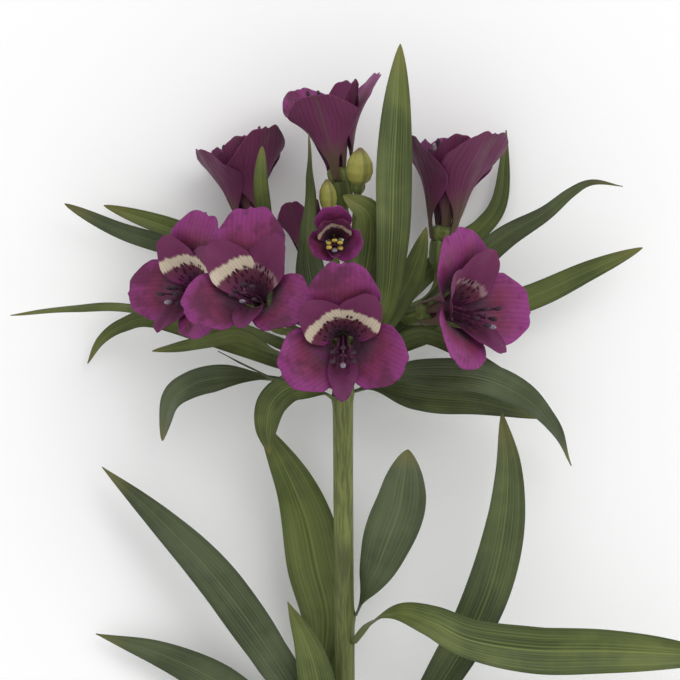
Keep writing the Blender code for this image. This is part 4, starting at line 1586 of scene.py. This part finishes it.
@dataclass(frozen=True)
class Bloom:
    """A flower: the bottom of its tepals, the way it faces, its upper side, and how its stalk leaves."""

    name: str
    base: Vector3
    axis: Vector3
    upper_side: Vector3
    leaves_stem: Vector3
    scale: float = 1.0
    openness: float = 1.0
    seed: int = 1
    fullness: float = 1.0
    anther: Finish = DARK_ANTHER
    upper_inner: tuple[Finish, Finish] = (UPPER_LEFT_TEPAL, UPPER_RIGHT_TEPAL)
    seat_radius: float = 3.9
    seat_height: float = 4.5
    seat_rib: float = 0.05
    seat_rings: int = 16
    seat_sides: int = 36
    seat_profile: tuple = ((0, 0.8), (0.25, 0.97), (0.7, 1), (0.92, 0.75), (1, 0.5))
    ovary_radius: float = 3.3
    ovary_length: float = 10.0
    ovary_rib: float = 0.09
    filament_radius: float = 0.5
    style_radius: float = 0.45
    anther_length: float = 3.6
    anther_radius: float = 1.0
    anther_rings: int = 16
    anther_sides: int = 18
    furrow: float = 0.2
    pale_anther: int = 4
    gap: float = 0.3
    thread_steps: int = 26
    thread_sides: int = 10

    def frame(self) -> np.ndarray:
        """Works out the flower's own axes.

        Returns:
            Three rows: across it, towards its upper side, and out of it.
        """
        axis = unit(self.axis)
        across = unit(np.cross(self.upper_side, axis))
        return np.stack([across, np.cross(axis, across), axis])

    def place(self, local: np.ndarray) -> np.ndarray:
        """Moves points from the flower's own frame to their places."""
        return np.asarray(local, float) * self.scale @ self.frame() + np.array(self.base, float)

    def seat(self) -> Patch:
        """Makes the short green cup that the tepals grow from.

        Returns:
            Its closed surface.
        """
        share = np.linspace(0.0, 1.0, self.seat_rings)
        radii = smooth_profile(self.seat_profile, share) * self.seat_radius
        angles = ring(self.seat_sides)
        path = self.place(np.stack([0 * share, 0 * share, share * self.seat_height], axis=1))
        ribbed = radii[:, None] * self.scale * (1.0 + self.seat_rib * np.cos(6 * angles))
        return tube_patch(path, ribbed, across=self.frame()[0], finish=SEAT_FINISH)

    def build_tepals(self) -> None:
        """Makes the six tepals on their seat, each a little different by a seeded draw."""
        random = np.random.default_rng(self.seed)
        fine = np.random.default_rng(self.seed + 100)
        patches = [self.seat()]
        for tepal in SIX_TEPALS:
            varied = replace(
                tepal,
                azimuth=tepal.azimuth + random.uniform(-3, 3),
                length=tepal.length * random.uniform(0.97, 1.03),
                half_width=tepal.half_width * self.fullness,
                openness=tepal.openness + random.uniform(0, 0.06) * (1 if tepal.outer else -1),
            )
            surface = self.place(varied.surface(self.openness, random.uniform(0, 6), fine))
            patches.append(blade_patch(surface, varied.thickness(), tepal.finish))
        finishes = [OUTER_TEPAL, *self.upper_inner, LOWER_INNER_TEPAL, STALK_GREEN]
        node = f"bloom_{self.name}_tepals"
        tone = float(fine.uniform(-0.06, 0.06))
        add_piece(f"{self.name}_flower", joined(patches), finishes, node, tone)

    def spread(self) -> float:
        """Tells how wide the stamens spread, from 0.62 in a shut flower to 1 in an open one."""
        return 0.62 + 0.38 * min(self.openness / 0.7, 1.0)

    def threads(self) -> Iterator[np.ndarray]:
        """Works out the six filaments: they leave the seat as a ring, droop together, then rise.

        Yields:
            Each filament's path in the flower's own frame.
        """
        spread = self.spread()
        for angle in np.radians(np.arange(30, 390, 60)):
            x, y = math.cos(angle), math.sin(angle)
            reach = 27 + 2 * math.sin(2 * angle)
            points = (
                (0.9 * x, 0.9 * y, self.seat_height - 0.6),
                (1.5 * x, 1.4 * y - 0.6, 12),
                (2.4 * x, 1.8 * y - 3.2, 19),
                (4.0 * x, 3.0 * y - 5.0, reach),
            )
            squeezed = np.array(points) * (spread, spread, 0.9 + 0.1 * spread)
            yield smooth_path(squeezed, self.thread_steps)

    def anther_patch(self, tip: np.ndarray, along: np.ndarray, finish: int) -> Patch:
        """Makes an anther: two swollen halves with a furrow between them, balanced on its filament.

        Args:
            tip: The filament's tip.
            along: The way that the filament points there.
            finish: Which of the stamens' finishes it wears.

        Returns:
            Its closed surface.
        """
        share = np.linspace(0.0, 1.0, self.anther_rings)
        path = tip + (share[:, None] - 0.45) * along * self.anther_length
        profile = np.sqrt(np.clip(1.0 - (2.0 * share - 1.0) ** 2, 0.02, 1.0)) * self.anther_radius
        halves = 0.86 + self.furrow * np.cos(2 * ring(self.anther_sides))
        return tube_patch(path, profile[:, None] * halves, self.frame()[0], finish)

    def style_patches(self) -> Iterator[Patch]:
        """Makes the style, a drooping thread that parts into three short arms.

        Yields:
            The thread and each arm.
        """
        across, spread = self.frame()[0], self.spread()
        style = ((0, 0, self.seat_height - 0.6), (0, -1.2 * spread, 16), (0, -4.2 * spread, 25.5))
        curve = self.place(smooth_path(style, self.thread_steps))
        yield tube_patch(curve, np.full((len(curve), self.thread_sides), self.style_radius), across)
        for turn in np.radians((90, 210, 330)):
            x, y = math.cos(turn), math.sin(turn)
            arm = np.array([(out * x, out * y, rise) for out, rise in ((0, 0), (0.5, 1.0), (1.3, 1.7))])
            path = self.place(smooth_path(arm + np.array(style[-1]), 8))
            yield tube_patch(path, np.linspace(0.42, 0.2, 9)[:, None] * np.ones((1, 8)), across)

    def build_stamens(self) -> None:
        """Makes the six stamens and the style."""
        across = self.frame()[0]
        patches = []
        for number, local in enumerate(self.threads()):
            curve = self.place(local)
            taper = np.linspace(1.25, 0.75, len(curve))[:, None]
            radii = taper * np.full((1, self.thread_sides), self.filament_radius)
            patches.append(tube_patch(curve, radii, across))
            finish = PALE_FINISH if number == self.pale_anther else ANTHER_FINISH
            patches.append(self.anther_patch(curve[-1], unit(curve[-1] - curve[-3]), finish))
        patches.extend(self.style_patches())
        finishes = [THREAD, self.anther, PALE_ANTHER]
        node = f"bloom_{self.name}_stamens"
        add_piece(f"{self.name}_stamens", joined(patches), finishes, node)

    def build_stalk(self) -> None:
        """Makes the stalk and the six-ribbed ovary."""
        end = np.array(self.base, float) - unit(self.axis) * self.gap
        radius, length = self.ovary_radius * self.scale, self.ovary_length * self.scale
        patch = Stalk(end, self.axis, self.leaves_stem, radius, length).patch(self.ovary_rib)
        add_piece(f"{self.name}_stalk", patch, [STALK_GREEN], "stem")

    def build(self) -> None:
        """Makes the whole flower."""
        self.build_stalk()
        self.build_tepals()
        self.build_stamens()


BLOOMS = (
    Bloom("front", (0, 3.5, 66), (0, -0.06, 1), TOWARDS_FLOWERS, (0.05, 1, 0.6), 1.03, seed=3),
    Bloom("left", (-44, 19, 26), (-0.6, 0.16, 0.78), (0.5, 0.87, 0), (-0.9, 0.15, -0.4), 0.96, seed=4),
    Bloom(
        "centre_left", (-28, 12, 48), (-0.24, 0.42, 0.87), TOWARDS_FLOWERS, (-0.7, 0.5, 0.55), 1.04,
        seed=5, upper_inner=(UPPER_LEFT_TEPAL, SPOTTED_TEPAL),
    ),
    Bloom(
        "upper_left", (-32, 41, 16.2), (-0.2, 0.97, 0.06), (0.69, 0, 0.72), (-0.5, 0.86, -0.3),
        scale=1.14, openness=0.3, seed=6,
    ),
    Bloom("top", (-1, 60, 30), (-0.15, 0.98, 0.1), (1, 0, -0.15), (0, 1, -0.2), 1.13, 0.43, 7),
    Bloom("upper_right", (36, 38.5, 18), (0.1, 0.98, 0.06), (0.75, 0, 0.66), (0.6, 0.8, -0.3), 1.24, 0.36, 8),
    Bloom(
        "right", (28.5, 12, 38), (0.7, 0.12, 0.7), (-0.5, 0.86, 0), (0.9, 0.45, 0.1), 1.14, 0.88, 9,
        upper_inner=(SPOTTED_TEPAL, SPOTTED_TEPAL),
    ),
    Bloom(
        "half_open", (-3, 38, 55), (0, 0.06, 1), TOWARDS_FLOWERS, (-0.1, 1, 0.3), 0.66, 0.42, 10, 0.8,
        YELLOW_ANTHER,
    ),
    Bloom("behind", (-13, 30, 22), (-0.1, 0.96, -0.16), RIGHT, (-0.3, 0.9, -0.5), 0.72, 0.38, 11, 0.8),
)


@dataclass(frozen=True)
class Bud:
    """A shut bud: its base, the way it points, how its stalk leaves, and its size."""

    name: str
    base: Vector3
    axis: Vector3
    leaves_stem: Vector3
    length: float
    radius: float
    lobe: float = 0.06
    furrow: float = 0.05
    twist: float = 1.5
    neck_length: float = 4.0
    neck_rib: float = 0.04
    rings: int = 34
    sides: int = 42
    profile: tuple = ((0, 0.4), (0.14, 0.82), (0.38, 1), (0.64, 0.9), (0.86, 0.55), (1, 0.14))

    def build(self) -> None:
        """Makes the bud, an egg of three furrowed lobes with a blunt tip, and its stalk."""
        share = np.linspace(0.0, 1.0, self.rings)
        angles = ring(self.sides)
        twisted = np.cos(3 * angles + self.twist * share[:, None])
        lobes = 1.0 + self.lobe * twisted - self.furrow * np.abs(np.cos(1.5 * angles)) ** 12
        path = np.array(self.base, float) + unit(self.axis) * ((share * self.length)[:, None] + 0.1)
        patch = tube_patch(path, smooth_profile(self.profile, share)[:, None] * self.radius * lobes)
        add_piece(f"{self.name}_tepals", patch, [BudSkin("bud skin")], self.name)
        stalk = Stalk(self.base, self.axis, self.leaves_stem, self.radius / 2, self.neck_length)
        add_piece(f"{self.name}_stalk", stalk.patch(self.neck_rib), [STALK_GREEN], "stem")


BUDS = (
    Bud("bud_upper", (5.5, 58.5, 43), (0.06, 0.95, 0.3), (0.1, 1, 0.2), 13.5, 5.0),
    Bud("bud_lower", (-5.2, 49, 42), (-0.05, 0.97, 0.25), (-0.05, 1, 0.1), 11.5, 3.3),
)


# The room


@dataclass(frozen=True)
class Studio:
    """A pale floor, soft daylight and the camera, which looks straight down.

    Attributes:
        pixel: The photograph's scale, in millimetres for each of its pixels.
        pixels: The photograph's width in pixels.
        whorl_pixel: The whorl's place in it.
        camera_height: The camera's height above the floor, in metres.
        focus_height: The height of the plane that is seen at that scale, in metres.
    """

    pixel: float = 0.36
    pixels: int = 680
    whorl_pixel: tuple[float, float] = (343.0, 347.0)
    camera_height: float = 3.0
    focus_height: float = 0.04
    floor_radius: float = 12.0
    daylight: float = 0.84
    sun: float = 0.8
    sun_softness: float = 40.0
    sun_tilt: tuple[float, float] = (-28.0, 30.0)
    board: str = "#fdfdfd"
    sensor: float = 36.0

    def build_floor(self) -> None:
        """Lays a round white floor, dull as matt paper."""
        material = bpy.data.materials.new("matt white board")
        material.use_nodes = True
        shader = material.node_tree.nodes["Principled BSDF"]
        shader.inputs["Base Color"].default_value = linear(self.board)
        shader.inputs["Roughness"].default_value = 0.9
        shader.inputs["Specular IOR Level"].default_value = 0.1
        bpy.ops.mesh.primitive_circle_add(vertices=64, radius=self.floor_radius, fill_type="NGON")
        floor = bpy.context.object
        floor.name = "floor"
        floor.data.materials.append(material)
        floor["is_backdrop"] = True

    def build_lights(self) -> None:
        """Lights the scene by a white sky and a broad sun from the upper right."""
        world = bpy.data.worlds.new("soft daylight")
        world.use_nodes = True
        background = world.node_tree.nodes["Background"]
        background.inputs["Color"].default_value = (1.0, 1.0, 1.0, 1.0)
        background.inputs["Strength"].default_value = self.daylight
        bpy.context.scene.world = world
        lamp = bpy.data.lights.new("broad sun", "SUN")
        lamp.energy = self.sun
        lamp.angle = math.radians(self.sun_softness)
        sun = bpy.data.objects.new("broad sun", lamp)
        sun.rotation_euler = (*np.radians(self.sun_tilt), 0.0)
        bpy.context.scene.collection.objects.link(sun)

    def build_camera(self) -> None:
        """Hangs the camera so that one photograph pixel covers its real size at the flowers' height."""
        middle = self.pixels / 2
        x = WHORL[0] + (middle - self.whorl_pixel[0]) * self.pixel
        y = WHORL[1] + (self.whorl_pixel[1] - middle) * self.pixel
        lens = bpy.data.cameras.new("camera")
        lens.sensor_width = self.sensor
        seen = self.pixels * self.pixel * MM
        lens.lens = self.sensor * (self.camera_height - self.focus_height) / seen
        lens.clip_end = 100.0
        camera = bpy.data.objects.new("camera", lens)
        camera.location = (x * MM, y * MM, self.camera_height)
        bpy.context.scene.collection.objects.link(camera)
        bpy.context.scene.camera = camera

    def build(self) -> None:
        """Sets the floor, the light, the camera and a plain view of the colours."""
        self.build_floor()
        self.build_lights()
        self.build_camera()
        bpy.context.scene.view_settings.view_transform = "Standard"


def corners(box: Sequence[Vector3]) -> list[list[float]]:
    """Turns a box's two corners into plain lists."""
    return [[float(number) for number in corner] for corner in box]


def main() -> None:
    """Loads the frame and dresses every node of it."""
    logging.basicConfig(level=logging.INFO, format="%(message)s")
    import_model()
    solid_box = corners(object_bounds())
    leaves = (*STEM_LEAVES, *WHORL_LEAVES)
    SHOOT.build(leaves)
    for leaf in (*leaves, BRACT):
        leaf.build()
    for flower in (*BLOOMS, *BUDS):
        flower.build()
    Studio().build()
    {"cad": solid_box, "visual": corners(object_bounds())}


if __name__ == "__main__":
    main()
